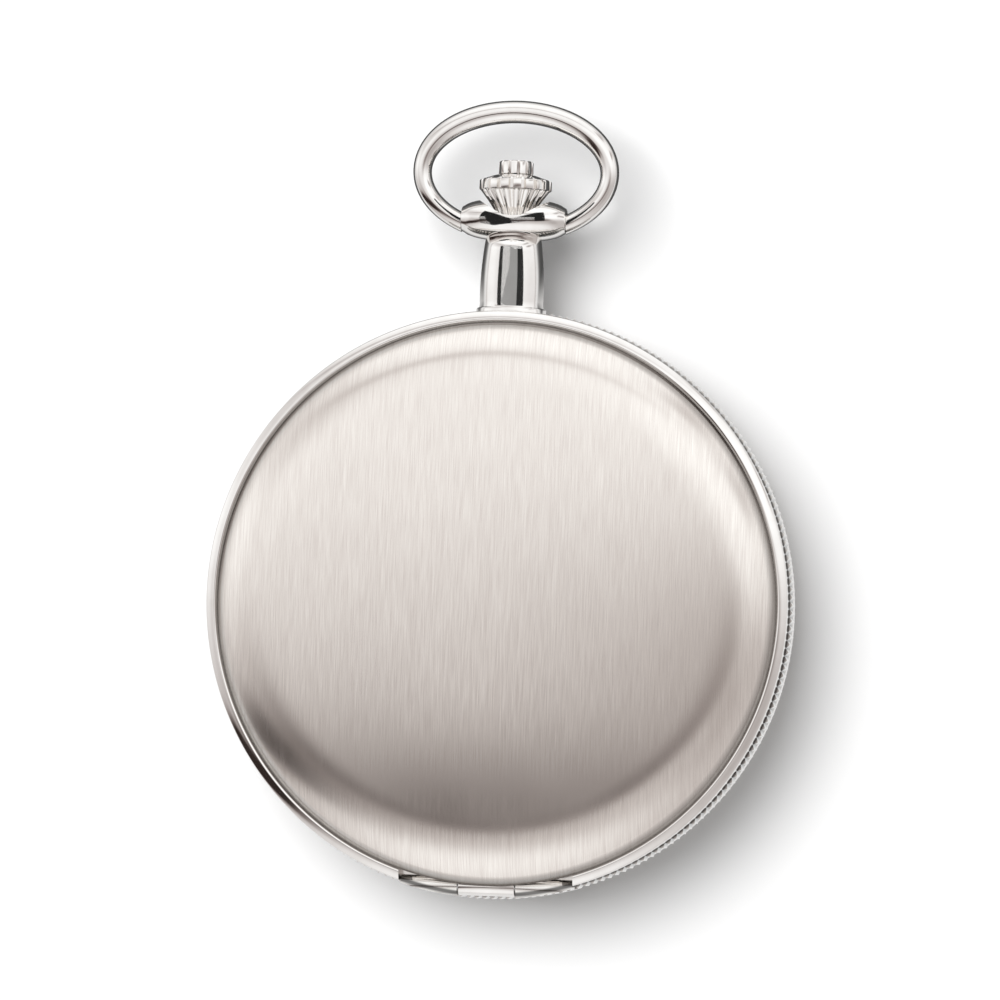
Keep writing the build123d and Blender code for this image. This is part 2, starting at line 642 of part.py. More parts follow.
# ---------------------------------------------------------------- glazing and dial
def make_front_bezel():
    low = BEZEL_SEAT_Z + GAP
    outer_r = SEAT_R - 0.04
    with BuildPart() as bezel:
        with BuildSketch(Plane.XZ):
            with BuildLine():
                Polyline((20.85, low + 1.8), (20.85, low + 0.85), (19.8, low + 0.6), (19.8, low))
                Line((19.8, low), (outer_r, low))
                Line((outer_r, low), (outer_r, low + 0.8))
                ThreePointArc((outer_r, low + 0.8), (outer_r - 0.4, low + 1.45), (20.85, low + 1.8))
            make_face()
        revolve(axis=Axis.Z)
        # notch that lets the latch's nose draw back
        with Locations((0, 23, low + 1)):
            Box(6.2, 2.8, 3, mode=Mode.SUBTRACT)
    return bezel.part


def dome_radius(reach, sag):
    """Radius of a dome that drops by sag at reach from its axis."""
    return (reach**2 + sag**2) / (2 * sag)


def make_crystal():
    low = BEZEL_SEAT_Z + 0.98
    edge_r = 20.8
    inner_r = edge_r - 1.2
    inner_top = low + CRYSTAL_SAG
    outer_top = low + 0.6 + CRYSTAL_SAG
    with BuildPart() as crystal:
        with BuildSketch(Plane.XZ):
            with BuildLine():
                Line((0, inner_top), (0, outer_top))
                RadiusArc((0, outer_top), (edge_r, low + 0.6), dome_radius(edge_r, CRYSTAL_SAG))
                Polyline((edge_r, low + 0.6), (edge_r, low), (inner_r, low))
                RadiusArc((0, inner_top), (inner_r, low), dome_radius(inner_r, CRYSTAL_SAG))
            make_face()
        revolve(axis=Axis.Z)
    return crystal.part


def make_dial():
    with BuildPart() as dial:
        with BuildSketch(Plane.XY.offset(DIAL_LOW)):
            Circle(DIAL_R)
        extrude(amount=DIAL_HIGH - DIAL_LOW)
        with BuildSketch(at(FOURTH, DIAL_HIGH - 0.1)):
            Circle(SECONDS_RING_R)
        extrude(amount=1, mode=Mode.SUBTRACT)
        with BuildSketch(at(CENTRE, DIAL_LOW)):
            Circle(0.95)
        extrude(amount=1, mode=Mode.SUBTRACT)
        with BuildSketch(at(FOURTH, DIAL_LOW)):
            Circle(0.3)
        extrude(amount=1, mode=Mode.SUBTRACT)
        # notch for the latch strip
        with Locations((0, 22.6, DIAL_LOW)):
            Box(8, 2, 2, mode=Mode.SUBTRACT)
    return dial.part


def make_cuvette_ring():
    high = BACK_SEAT_Z - GAP
    outer_r = SEAT_R - 0.04
    with BuildPart() as ring:
        with BuildSketch(Plane.XZ):
            with BuildLine():
                Polyline(
                    (outer_r, high),
                    (outer_r, 3.3),
                    (20.5, 2.4),
                    (17.2, 1.4),
                    (CUVETTE_GLASS_R - 0.5, 1.4),
                    (CUVETTE_GLASS_R - 0.5, 1.6),
                    (CUVETTE_GLASS_R + 0.05, 1.6),
                    (CUVETTE_GLASS_R + 0.05, 2.0),
                    (20.2, 3.0),
                    (21.6, 3.6),
                    (21.6, high),
                    close=True,
                )
            make_face()
        revolve(axis=Axis.Z)
    return ring.part


def make_cuvette_glass():
    with BuildPart() as glass:
        with BuildSketch(Plane.XY.offset(1.6 + GAP)):
            Circle(CUVETTE_GLASS_R)
        extrude(amount=0.55)
    return glass.part


# ---------------------------------------------------------------- plates and bridges
def make_movement_ring():
    low = BACK_SEAT_Z - 0.3
    high = DIAL_LOW - GAP
    with BuildPart() as ring:
        with BuildSketch(Plane.XY.offset(low)):
            Circle(BORE_R - 0.08)
            Circle(MOVEMENT_R + 0.04, mode=Mode.SUBTRACT)
        extrude(amount=high - low)
        with Locations(Location((0, 20, STEM_Z), (90, 0, 0))):
            Cylinder(STEM_R + 0.1, 5, mode=Mode.SUBTRACT)
        for centre in CASE_SCREWS:
            with BuildSketch(at(centre, low)):
                Circle(1.3)
            extrude(amount=PLATE_LOW - low, mode=Mode.SUBTRACT)
            with BuildSketch(at(centre, PLATE_LOW)):
                Circle(0.42)
            extrude(amount=1.3, mode=Mode.SUBTRACT)
    return ring.part


def jewelled_wheels():
    return (THIRD, FOURTH, ESCAPE, PALLET, BALANCE)


def make_mainplate():
    thick = PLATE_HIGH - PLATE_LOW
    with BuildPart() as plate:
        with BuildSketch(Plane.XY.offset(PLATE_LOW)):
            Circle(MOVEMENT_R)
        extrude(amount=thick)
        # sunk floor for the motion work on the dial side
        for centre, radius in ((CENTRE, 2.75), (MINUTE_WHEEL, 2.45), (SETTING_WHEEL, 3.75)):
            with BuildSketch(at(centre, MOTION_FLOOR)):
                Circle(radius)
            extrude(amount=1, mode=Mode.SUBTRACT)
        for centre in jewelled_wheels():
            with BuildSketch(at(centre, PLATE_LOW)):
                Circle(JEWEL_R + 0.01)
            extrude(amount=thick, mode=Mode.SUBTRACT)
        for centre, radius in ((CENTRE, 0.44), (BARREL, 0.54)):
            with BuildSketch(at(centre, PLATE_LOW)):
                Circle(radius)
            extrude(amount=thick, mode=Mode.SUBTRACT)
        for centre in BRIDGE_SCREWS + [COCK_FOOT, PALLET_FOOT]:
            with BuildSketch(at(centre, PLATE_LOW)):
                Circle(SCREW_R + 0.02)
            extrude(amount=thick, mode=Mode.SUBTRACT)
        # keyless work: a slot for the two pinions and a bore for the stem
        with Locations((0, KEYLESS_MIDDLE_Y, STEM_Z)):
            Box(KEYLESS_WIDTH, KEYLESS_LENGTH, 4, mode=Mode.SUBTRACT)
        with Locations(Location((0, 17, STEM_Z), (90, 0, 0))):
            Cylinder(STEM_R + 0.04, 4, mode=Mode.SUBTRACT)
        with Locations(Location((0, STEM_PILOT_Y - 1, STEM_Z), (90, 0, 0))):
            Cylinder(STEM_PILOT_R + 0.03, 2.4, mode=Mode.SUBTRACT)
        # posts of the minute wheel and of the setting wheel
        for centre in (MINUTE_WHEEL, SETTING_WHEEL):
            with BuildSketch(at(centre, MOTION_FLOOR)):
                Circle(POST_R)
            extrude(amount=0.7)
    return plate.part


def bridge_screw_holes(centres, low):
    """Stepped holes that sink the screws' heads into a bridge."""
    for centre in centres:
        with Locations((centre[0], centre[1], low)):
            Cylinder(SCREW_HEAD_R + 0.05, 0.4, align=STANDING, mode=Mode.SUBTRACT)
            Cylinder(SCREW_R + 0.05, 6, align=STANDING, mode=Mode.SUBTRACT)


def make_barrel_bridge():
    with BuildPart() as bridge:
        with BuildSketch(Plane.XY.offset(BRIDGE_LOW)):
            Circle(BRIDGE_R)
        extrude(amount=PLATE_LOW - GAP - BRIDGE_LOW)
        with BuildSketch(Plane.XY.offset(BRIDGE_HIGH)):
            Circle(FOOT_R)
        extrude(amount=3, mode=Mode.SUBTRACT)
        with Locations((0, BRIDGE_SPLIT_Y - 15, 5)):
            Box(40, 30, 6, mode=Mode.SUBTRACT)
        for centre in CASE_SCREWS:
            with BuildSketch(at(centre, BRIDGE_LOW)):
                Circle(1.35)
            extrude(amount=4, mode=Mode.SUBTRACT)
        with BuildSketch(at(CROWN_WHEEL, BRIDGE_HIGH)):
            Circle(2.4)
        extrude(amount=3, mode=Mode.SUBTRACT)
        with Locations((0, KEYLESS_MIDDLE_Y, BRIDGE_HIGH + 2)):
            Box(KEYLESS_WIDTH, KEYLESS_LENGTH, 4, mode=Mode.SUBTRACT)
        with Locations(Location((0, 17, STEM_Z), (90, 0, 0))):
            Cylinder(STEM_R + 0.04, 4, mode=Mode.SUBTRACT)
        for centre, radius in ((BARREL, 0.64), (CROWN_WHEEL, 0.54), (CLICK, 0.3)):
            with BuildSketch(at(centre, BRIDGE_LOW)):
                Circle(radius)
            extrude(amount=2, mode=Mode.SUBTRACT)
        bridge_screw_holes(BRIDGE_SCREWS[:2], BRIDGE_LOW)
    return bridge.part


def make_train_bridge():
    with BuildPart() as bridge:
        with BuildSketch(Plane.XY.offset(BRIDGE_LOW)):
            Circle(BRIDGE_R)
        extrude(amount=PLATE_LOW - GAP - BRIDGE_LOW)
        with BuildSketch(Plane.XY.offset(BRIDGE_HIGH)):
            Circle(FOOT_R)
        extrude(amount=3, mode=Mode.SUBTRACT)
        with Locations((0, BRIDGE_SPLIT_Y - 0.2 + 15, 5)):
            Box(40, 30, 6, mode=Mode.SUBTRACT)
        for centre, radius in (
            (BALANCE, BALANCE_R + 0.6),
            (COCK_FOOT, COCK_FOOT_R + 1.0),
            (polar(19, 200), 4.5),
            (polar(17.8, 173), 1.6),
            (PALLET_FOOT, 1.1),
            *((centre, 1.35) for centre in CASE_SCREWS),
        ):
            with BuildSketch(at(centre, BRIDGE_LOW)):
                Circle(radius)
            extrude(amount=4, mode=Mode.SUBTRACT)
        for centre, radius in ((CENTRE, 0.44), (THIRD, JEWEL_R), (FOURTH, JEWEL_R), (ESCAPE, JEWEL_R)):
            with BuildSketch(at(centre, BRIDGE_LOW)):
                Circle(radius + 0.01)
            extrude(amount=1, mode=Mode.SUBTRACT)
        bridge_screw_holes(BRIDGE_SCREWS[2:], BRIDGE_LOW)
    return bridge.part


def strap(start, start_r, end, end_r):
    """A flat bar with round ends of different size, as faces for the sketch in hand."""
    side = direction(start, end) + 90
    Polygon(
        polar(start_r, side, start),
        polar(end_r, side, end),
        polar(-end_r, side, end),
        polar(-start_r, side, start),
        align=None,
    )
    with Locations(start):
        Circle(start_r)
    with Locations(end):
        Circle(end_r)


def make_balance_cock():
    with BuildPart() as cock:
        with BuildSketch(Plane.XY.offset(COCK_LOW)):
            strap(COCK_FOOT, COCK_FOOT_R, BALANCE, 1.3)
        extrude(amount=COCK_HIGH - COCK_LOW)
        with BuildSketch(at(COCK_FOOT, COCK_LOW)):
            Circle(COCK_FOOT_R - 0.2)
        extrude(amount=PLATE_LOW - GAP - COCK_LOW)
        with BuildSketch(at(BALANCE, COCK_LOW)):
            Circle(JEWEL_R + 0.01)
        extrude(amount=1, mode=Mode.SUBTRACT)
        bridge_screw_holes([COCK_FOOT], COCK_LOW)
    return cock.part


def make_pallet_bridge():
    with BuildPart() as bridge:
        with BuildSketch(Plane.XY.offset(PALLET_BRIDGE_LOW)):
            strap(PALLET, JEWEL_R + 0.25, PALLET_FOOT, PALLET_FOOT_R)
        extrude(amount=JEWEL_THICK)
        with BuildSketch(at(PALLET_FOOT, PALLET_BRIDGE_LOW)):
            Circle(PALLET_FOOT_R)
        extrude(amount=PLATE_LOW - GAP - PALLET_BRIDGE_LOW)
        with BuildSketch(at(PALLET, PALLET_BRIDGE_LOW)):
            Circle(JEWEL_R + 0.01)
        extrude(amount=1, mode=Mode.SUBTRACT)
        with BuildSketch(at(PALLET_FOOT, PALLET_BRIDGE_LOW)):
            Circle(SCREW_R + 0.02)
        extrude(amount=4, mode=Mode.SUBTRACT)
    return bridge.part


def add_screw(centre, head_low, head_r, head_thick, tip):
    """A slotted screw, head down."""
    with Locations((centre[0], centre[1], head_low)):
        Cylinder(head_r, head_thick, align=STANDING)
        Cylinder(SCREW_R, tip - head_low, align=STANDING)
        Box(2 * head_r, 0.2, 0.24, mode=Mode.SUBTRACT)


def make_bridge_screws():
    with BuildPart() as screws:
        for centre in BRIDGE_SCREWS:
            add_screw(centre, BRIDGE_LOW + GAP, SCREW_HEAD_R, 0.36, PLATE_HIGH - 0.2)
        add_screw(COCK_FOOT, COCK_LOW + GAP, SCREW_HEAD_R, 0.36, PLATE_HIGH - 0.2)
        add_screw(PALLET_FOOT, PALLET_BRIDGE_LOW - 0.2 - GAP, 0.5, 0.2, PLATE_HIGH - 0.2)
    return screws.part


def make_case_screws():
    with BuildPart() as screws:
        for centre in CASE_SCREWS:
            add_screw(centre, PLATE_LOW - GAP - 0.36, 1.1, 0.36, PLATE_LOW + 1.25)
    return screws.part


def make_jewels():
    seats = [(centre, PLATE_LOW) for centre in jewelled_wheels()]
    seats += [(centre, BRIDGE_HIGH - JEWEL_THICK) for centre in (THIRD, FOURTH, ESCAPE)]
    seats += [(PALLET, PALLET_BRIDGE_LOW), (BALANCE, COCK_HIGH - JEWEL_THICK)]
    with BuildPart() as jewels:
        for centre, low in seats:
            with BuildSketch(at(centre, low)):
                Circle(JEWEL_R)
                Circle(JEWEL_HOLE_R, mode=Mode.SUBTRACT)
            extrude(amount=JEWEL_THICK)
    return jewels.part


# ---------------------------------------------------------------- power and winding
def make_barrel():
    with BuildPart() as barrel:
        with BuildSketch(at(BARREL, BARREL_LOW)):
            Polygon(*toothed_outline(BARREL_TEETH, BARREL_MODULE, BARREL_PHASE), align=None)
        extrude(amount=BARREL_TOOTH_HIGH - BARREL_LOW)
        with BuildSketch(at(BARREL, BARREL_LOW)):
            Circle(BARREL_DRUM_R)
        extrude(amount=BARREL_HIGH - BARREL_LOW)
        with BuildSketch(at(BARREL, BARREL_LOW + 0.2)):
            Circle(BARREL_DRUM_R - 0.3)
        extrude(amount=3, mode=Mode.SUBTRACT)
        with BuildSketch(at(BARREL, BARREL_LOW)):
            Circle(0.65)
        extrude(amount=3, mode=Mode.SUBTRACT)
    return barrel.part


def make_barrel_cover():
    with BuildPart() as cover:
        with BuildSketch(at(BARREL, BARREL_HIGH - 0.15)):
            Circle(BARREL_DRUM_R - 0.3 - GAP)
            Circle(0.6, mode=Mode.SUBTRACT)
        extrude(amount=0.15)
    return cover.part


def make_mainspring():
    with BuildPart() as spring:
        with BuildSketch(at(BARREL, BARREL_LOW + 0.25)):
            Polygon(*spiral_outline(1.35, BARREL_DRUM_R - 0.45, 9, 0.14), align=None)
        extrude(amount=BARREL_HIGH - BARREL_LOW - 0.5)
    return spring.part


def make_barrel_arbor():
    with BuildPart() as arbor:
        with BuildSketch(at(BARREL, WINDING_LOW)):
            Rectangle(0.8, 0.8)
        extrude(amount=WINDING_HIGH - WINDING_LOW)
        with BuildSketch(at(BARREL, WINDING_HIGH)):
            Circle(0.6)
        extrude(amount=BARREL_LOW + 0.25 - WINDING_HIGH)
        with BuildSketch(at(BARREL, BARREL_LOW + 0.25)):
            Circle(1.15)
        extrude(amount=BARREL_HIGH - BARREL_LOW - 0.5)
        with BuildSketch(at(BARREL, BARREL_HIGH - 0.25)):
            Circle(0.5)
        extrude(amount=PLATE_LOW + 0.6 - BARREL_HIGH + 0.25)
    return arbor.part


def make_ratchet_wheel():
    with BuildPart() as wheel:
        with BuildSketch(at(BARREL, WINDING_LOW)):
            Polygon(*toothed_outline(RATCHET_TEETH, RATCHET_MODULE, RATCHET_PHASE), align=None)
            Rectangle(0.84, 0.84, mode=Mode.SUBTRACT)
        extrude(amount=WINDING_HIGH - WINDING_LOW)
    return wheel.part


def make_crown_wheel():
    with BuildPart() as wheel:
        with BuildSketch(at(CROWN_WHEEL, WINDING_LOW)):
            Polygon(*toothed_outline(CROWN_WHEEL_TEETH, RATCHET_MODULE, CROWN_WHEEL_PHASE), align=None)
            Rectangle(0.74, 0.74, mode=Mode.SUBTRACT)
        extrude(amount=WINDING_HIGH - WINDING_LOW)
    return wheel.part


def make_contrate_wheel():
    """Carries the stem's turn round the corner to the crown wheel."""
    pitch_r = CONTRATE_TEETH * WINDING_MODULE / 2
    pitch_z = STEM_Z - WINDING_TEETH * WINDING_MODULE / 2
    root_z = pitch_z - 0.3
    with BuildPart() as wheel:
        with BuildSketch(at(CROWN_WHEEL, WINDING_LOW)):
            Rectangle(0.7, 0.7)
        extrude(amount=WINDING_HIGH - WINDING_LOW)
        with BuildSketch(at(CROWN_WHEEL, WINDING_HIGH)):
            Circle(0.5)
        extrude(amount=CONTRATE_LOW - WINDING_HIGH)
        with BuildSketch(at(CROWN_WHEEL, CONTRATE_LOW)):
            Circle(pitch_r + 0.3)
        extrude(amount=root_z - CONTRATE_LOW)
        with BuildSketch(at(CROWN_WHEEL, root_z)):
            with PolarLocations(pitch_r, CONTRATE_TEETH, start_angle=90 + 180 / CONTRATE_TEETH):
                Rectangle(0.5, 0.19)
        extrude(amount=0.4)
    return wheel.part


def make_wheel_screw(centre):
    with BuildPart() as screw:
        with BuildSketch(at(centre, WINDING_LOW - GAP - 0.25)):
            Circle(1.5)
        extrude(amount=0.25)
        with Locations((centre[0], centre[1], WINDING_LOW - GAP - 0.25)):
            Box(4, 0.3, 0.24, mode=Mode.SUBTRACT)
    return screw.part


def make_click():
    with BuildPart() as click:
        with BuildSketch(Plane.XY.offset(WINDING_LOW)):
            strap(CLICK, 0.75, CLICK_TIP, 0.14)
            with Locations(CLICK):
                Circle(0.32, mode=Mode.SUBTRACT)
        extrude(amount=WINDING_HIGH - WINDING_LOW)
    return click.part


def make_click_screw():
    with BuildPart() as screw:
        with BuildSketch(at(CLICK, WINDING_LOW - GAP - 0.2)):
            Circle(0.6)
        extrude(amount=0.2)
        with BuildSketch(at(CLICK, WINDING_LOW - GAP)):
            Circle(0.28)
        extrude(amount=1.2)
        with Locations((CLICK[0], CLICK[1], WINDING_LOW - GAP - 0.2)):
            Box(2, 0.2, 0.2, mode=Mode.SUBTRACT)
    return screw.part


def make_click_spring():
    """A thin strip that presses the click's back."""
    heel = polar(2.6, 262, CLICK)
    with BuildPart() as spring:
        with BuildSketch(Plane.XY.offset(WINDING_LOW)):
            strap(heel, 0.45, polar(1.05, 200, CLICK), 0.1)
        extrude(amount=WINDING_HIGH - WINDING_LOW)
    return spring.part


def make_winding_pinion():
    width = 0.9
    with BuildPart() as pinion:
        with BuildSketch(across_stem(WINDING_Y - width / 2)):
            Polygon(*leaf_outline(WINDING_TEETH, WINDING_MODULE, 90), align=None)
        extrude(amount=width)
        with BuildSketch(across_stem(WINDING_Y - width / 2)):
            Circle(STEM_R + 0.03)
        extrude(amount=width, mode=Mode.SUBTRACT)
    return pinion.part


def make_sliding_pinion():
    low = 12.45
    with BuildPart() as pinion:
        with BuildSketch(across_stem(low)):
            Polygon(*toothed_outline(14, 0.11), align=None)
        extrude(amount=0.7)
        with BuildSketch(across_stem(low + 0.7)):
            Circle(0.72)
        extrude(amount=0.6)
        with BuildSketch(across_stem(low + 1.3)):
            Polygon(*toothed_outline(14, 0.11), align=None)
        extrude(amount=0.8)
        with BuildSketch(across_stem(low)):
            Rectangle(STEM_SQUARE + 0.05, STEM_SQUARE + 0.05)
        extrude(amount=3, mode=Mode.SUBTRACT)
    return pinion.part


# ---------------------------------------------------------------- going train and escapement
def make_train_wheel(centre, wheel, wheel_low, rim_r, pinion, pinion_low, pinion_high, top):
    """A spoked wheel and its pinion on one arbor, with a pivot at each end."""
    with BuildPart() as part:
        with BuildSketch(at(centre, wheel_low)):
            Polygon(*wheel, align=None)
            Circle(rim_r, mode=Mode.SUBTRACT)
            with PolarLocations(rim_r / 2, SPOKES):
                Rectangle(rim_r + 0.2, SPOKE_WIDTH)
            Circle(HUB_R)
        extrude(amount=WHEEL_THICK)
        with BuildSketch(at(centre, pinion_low)):
            Polygon(*pinion, align=None)
        extrude(amount=pinion_high - pinion_low)
        with BuildSketch(at(centre, BRIDGE_HIGH + 0.04)):
            Circle(ARBOR_R)
        extrude(amount=PLATE_LOW - 0.04 - BRIDGE_HIGH - 0.04)
        with BuildSketch(at(centre, BRIDGE_HIGH - 0.3)):
            Circle(PIVOT_R)
        extrude(amount=top - BRIDGE_HIGH + 0.3)
    return part.part


def make_centre_wheel():
    with BuildPart() as wheel:
        add(
            make_train_wheel(
                CENTRE,
                toothed_outline(CENTRE_TEETH, CENTRE_MODULE, 0),
                CENTRE_WHEEL_LOW,
                4.7,
                leaf_outline(CENTRE_LEAVES, BARREL_MODULE, CENTRE_LEAF_PHASE),
                BARREL_LOW - 0.05,
                BARREL_TOOTH_HIGH + 0.2,
                DIAL_HIGH,
            )
        )
        with BuildSketch(at(CENTRE, BRIDGE_LOW + 0.3)):
            Circle(CENTRE_ARBOR_R)
        extrude(amount=DIAL_HIGH + 0.5 - BRIDGE_LOW)
    return wheel.part


def make_third_wheel():
    return make_train_wheel(
        THIRD,
        toothed_outline(THIRD_TEETH, THIRD_MODULE, 0),
        THIRD_WHEEL_LOW,
        4.1,
        leaf_outline(THIRD_LEAVES, CENTRE_MODULE, THIRD_LEAF_PHASE),
        CENTRE_WHEEL_LOW - 0.1,
        CENTRE_WHEEL_LOW + 0.35,
        PLATE_LOW + 0.3,
    )


def make_fourth_wheel():
    """Its long upper pivot carries the seconds hand."""
    return make_train_wheel(
        FOURTH,
        toothed_outline(FOURTH_TEETH, FOURTH_MODULE, 0),
        FOURTH_WHEEL_LOW,
        3.7,
        leaf_outline(FOURTH_LEAVES, THIRD_MODULE, FOURTH_LEAF_PHASE),
        THIRD_WHEEL_LOW - 0.2,
        THIRD_WHEEL_LOW + 0.45,
        SECONDS_HAND_LOW + 0.08,
    )


def escape_outline():
    corners = ((1.75, -8.5), (2.25, -2.5), (ESCAPE_R, 2.2), (ESCAPE_R - 0.06, 4.2), (1.9, 1.5))
    outline = []
    for i in range(ESCAPE_TEETH):
        middle = 360 * i / ESCAPE_TEETH
        for radius, offset in corners:
            outline.append(polar(radius, middle + offset))
    return outline


def make_escape_wheel():
    return make_train_wheel(
        ESCAPE,
        escape_outline(),
        ESCAPE_WHEEL_LOW,
        1.45,
        leaf_outline(ESCAPE_LEAVES, FOURTH_MODULE, ESCAPE_LEAF_PHASE),
        FOURTH_WHEEL_LOW - 0.1,
        FOURTH_WHEEL_LOW + 0.3,
        PLATE_LOW + 0.3,
    )


def make_pallet_fork():
    to_balance = direction(PALLET, BALANCE)
    with BuildPart() as fork:
        with BuildSketch(Plane.XY.offset(ESCAPE_WHEEL_LOW)):
            for side in (-30, 30):
                strap(PALLET, 0.2, polar(2.95, 150 + side, ESCAPE), 0.16)
            strap(PALLET, 0.32, polar(2.75, to_balance, PALLET), 0.14)
            for side in (-1, 1):
                prong = polar(2.85, to_balance + side * 4.6, PALLET)
                strap(polar(2.75, to_balance, PALLET), 0.14, prong, 0.1)
                strap(prong, 0.1, polar(3.12, to_balance + side * 4.6, PALLET), 0.08)
        extrude(amount=WHEEL_THICK)
        with BuildSketch(at(PALLET, PALLET_BRIDGE_LOW + JEWEL_THICK + 0.04)):
            Circle(0.22)
        extrude(amount=PLATE_LOW - 0.04 - PALLET_BRIDGE_LOW - JEWEL_THICK - 0.04)
        with BuildSketch(at(PALLET, PALLET_BRIDGE_LOW + 0.05)):
            Circle(PIVOT_R)
        extrude(amount=PLATE_LOW + 0.3 - PALLET_BRIDGE_LOW - 0.05)
    return fork.part


def make_pallet_stones():
    with BuildPart() as stones:
        for side in (-30, 30):
            heading = 150 + side
            middle = polar(2.93, heading, ESCAPE)
            with Locations(Location((middle[0], middle[1], ESCAPE_WHEEL_LOW - 0.16), (0, 0, heading))):
                Box(0.5, 0.26, 0.28)
    return stones.part


def radially(angle, reach):
    """A spot in the balance's rim, its z pointing away from the staff."""
    spot = polar(reach, angle, BALANCE)
    middle_z = (BALANCE_LOW + BALANCE_HIGH) / 2
    return Plane(origin=(spot[0], spot[1], middle_z), z_dir=(*polar(1, angle), 0))


def make_balance_wheel():
    """A plain ring balance with two arms."""
    with BuildPart() as wheel:
        with BuildSketch(at(BALANCE, BALANCE_LOW)):
            Circle(BALANCE_R)
            Circle(BALANCE_R - 0.6, mode=Mode.SUBTRACT)
            Rectangle(2 * BALANCE_R - 0.8, 0.55)
            Circle(0.75)
            Circle(ARBOR_R + 0.01, mode=Mode.SUBTRACT)
        extrude(amount=BALANCE_HIGH - BALANCE_LOW)
        for angle in BALANCE_SCREW_ANGLES:
            with Locations(radially(angle, BALANCE_R)):
                Cylinder(0.09, 0.7, mode=Mode.SUBTRACT)
    return wheel.part


def make_balance_screws():
    with BuildPart() as screws:
        for angle in BALANCE_SCREW_ANGLES:
            for radius, reach, length in ((0.08, BALANCE_R - 0.1, 0.4), (0.17, BALANCE_R + 0.16, 0.26)):
                with Locations(radially(angle, reach)):
                    Cylinder(radius, length)
    return screws.part


def make_balance_staff():
    pin = polar(0.72, direction(BALANCE, PALLET), BALANCE)
    with BuildPart() as staff:
        with BuildSketch(at(BALANCE, COCK_HIGH + 0.04)):
            Circle(ARBOR_R)
        extrude(amount=PLATE_LOW - 0.04 - COCK_HIGH - 0.04)
        with BuildSketch(at(BALANCE, COCK_HIGH - 0.3)):
            Circle(PIVOT_R)
        extrude(amount=PLATE_LOW + 0.6 - COCK_HIGH)
        with BuildSketch(at(BALANCE, 4.7)):
            Circle(0.95)
        extrude(amount=0.2)
        with BuildSketch(at(pin, 4.85)):
            Circle(0.1)
        extrude(amount=0.65)
    return staff.part


def make_hairspring():
    with BuildPart() as spring:
        with BuildSketch(at(BALANCE, HAIRSPRING_LOW)):
            Polygon(*spiral_outline(0.5, 3.1, 9, 0.07), align=None)
        extrude(amount=0.15)
    return spring.part


# ---------------------------------------------------------------- motion work and hands
def make_cannon_pinion():
    with BuildPart() as pinion:
        with BuildSketch(at(CENTRE, MOTION_FLOOR + 0.05)):
            Polygon(*leaf_outline(CANNON_TEETH, CANNON_MODULE, CANNON_PHASE), align=None)
        extrude(amount=0.3)
        with BuildSketch(at(CENTRE, MOTION_FLOOR + 0.05)):
            Circle(0.6)
        extrude(amount=MINUTE_HAND_LOW + 0.25 - MOTION_FLOOR - 0.05)
        with BuildSketch(at(CENTRE, MOTION_FLOOR)):
            Circle(CENTRE_ARBOR_R + 0.03)
        extrude(amount=3, mode=Mode.SUBTRACT)
    return pinion.part


def make_minute_wheel():
    with BuildPart() as wheel:
        with BuildSketch(at(MINUTE_WHEEL, MOTION_FLOOR + 0.05)):
            Polygon(*toothed_outline(MINUTE_TEETH, CANNON_MODULE, MINUTE_PHASE), align=None)
        extrude(amount=0.18)
        with BuildSketch(at(MINUTE_WHEEL, MOTION_FLOOR + 0.05)):
            Polygon(*leaf_outline(MINUTE_LEAVES, MOTION_MODULE, 0), align=None)
        extrude(amount=0.65)
        with BuildSketch(at(MINUTE_WHEEL, MOTION_FLOOR)):
            Circle(POST_R + 0.03)
        extrude(amount=1, mode=Mode.SUBTRACT)
    return wheel.part


def make_setting_wheel():
    with BuildPart() as wheel:
        with BuildSketch(at(SETTING_WHEEL, MOTION_FLOOR + 0.05)):
            Polygon(*toothed_outline(SETTING_TEETH, CANNON_MODULE, SETTING_PHASE), align=None)
            Circle(POST_R + 0.03, mode=Mode.SUBTRACT)
            with PolarLocations(1.9, 5):
                Circle(0.7, mode=Mode.SUBTRACT)
        extrude(amount=0.18)
    return wheel.part


def make_hour_wheel():
    with BuildPart() as wheel:
        with BuildSketch(at(CENTRE, MOTION_FLOOR + 0.42)):
            Polygon(*toothed_outline(HOUR_TEETH, MOTION_MODULE, HOUR_PHASE), align=None)
        extrude(amount=0.2)
        with BuildSketch(at(CENTRE, MOTION_FLOOR + 0.42)):
            Circle(0.85)
        extrude(amount=HOUR_HAND_LOW + 0.1 - MOTION_FLOOR - 0.42)
        with BuildSketch(at(CENTRE, MOTION_FLOOR)):
            Circle(0.65)
        extrude(amount=3, mode=Mode.SUBTRACT)
    return wheel.part


def spade_hand(centre, low, length, tail, width, hub_r, bore_r, heading):
    """A tapering hand with a leaf-shaped swelling near its tip."""
    stations = ((0.0, 0.55), (0.45, 0.4), (0.62, 0.4), (0.76, 1.5), (0.84, 0.5), (1.0, 0.05))
    left = [(hub_r + (length - hub_r) * share, width * half) for share, half in stations]
    outline = left + [(x, -y) for x, y in left[::-1]]
    along = (cos(radians(heading)), sin(radians(heading)), 0)
    with BuildPart() as hand:
        with BuildSketch(Plane(origin=(*centre, low), x_dir=along)):
            Polygon(*outline, align=None)
            Circle(hub_r)
            with Locations(((hub_r - tail) / 2, 0)):
                Rectangle(tail + hub_r, width)
            Circle(bore_r, mode=Mode.SUBTRACT)
        extrude(amount=HAND_THICK)
    return hand.part


def make_seconds_hand():
    with BuildPart() as hand:
        with BuildSketch(at(FOURTH, SECONDS_HAND_LOW)):
            Polygon((-0.09, -1.2), (0.09, -1.2), (0.03, 3.4), (-0.03, 3.4), align=None)
            Circle(0.38)
            Circle(PIVOT_R + 0.01, mode=Mode.SUBTRACT)
        extrude(amount=0.08)
    return hand.part


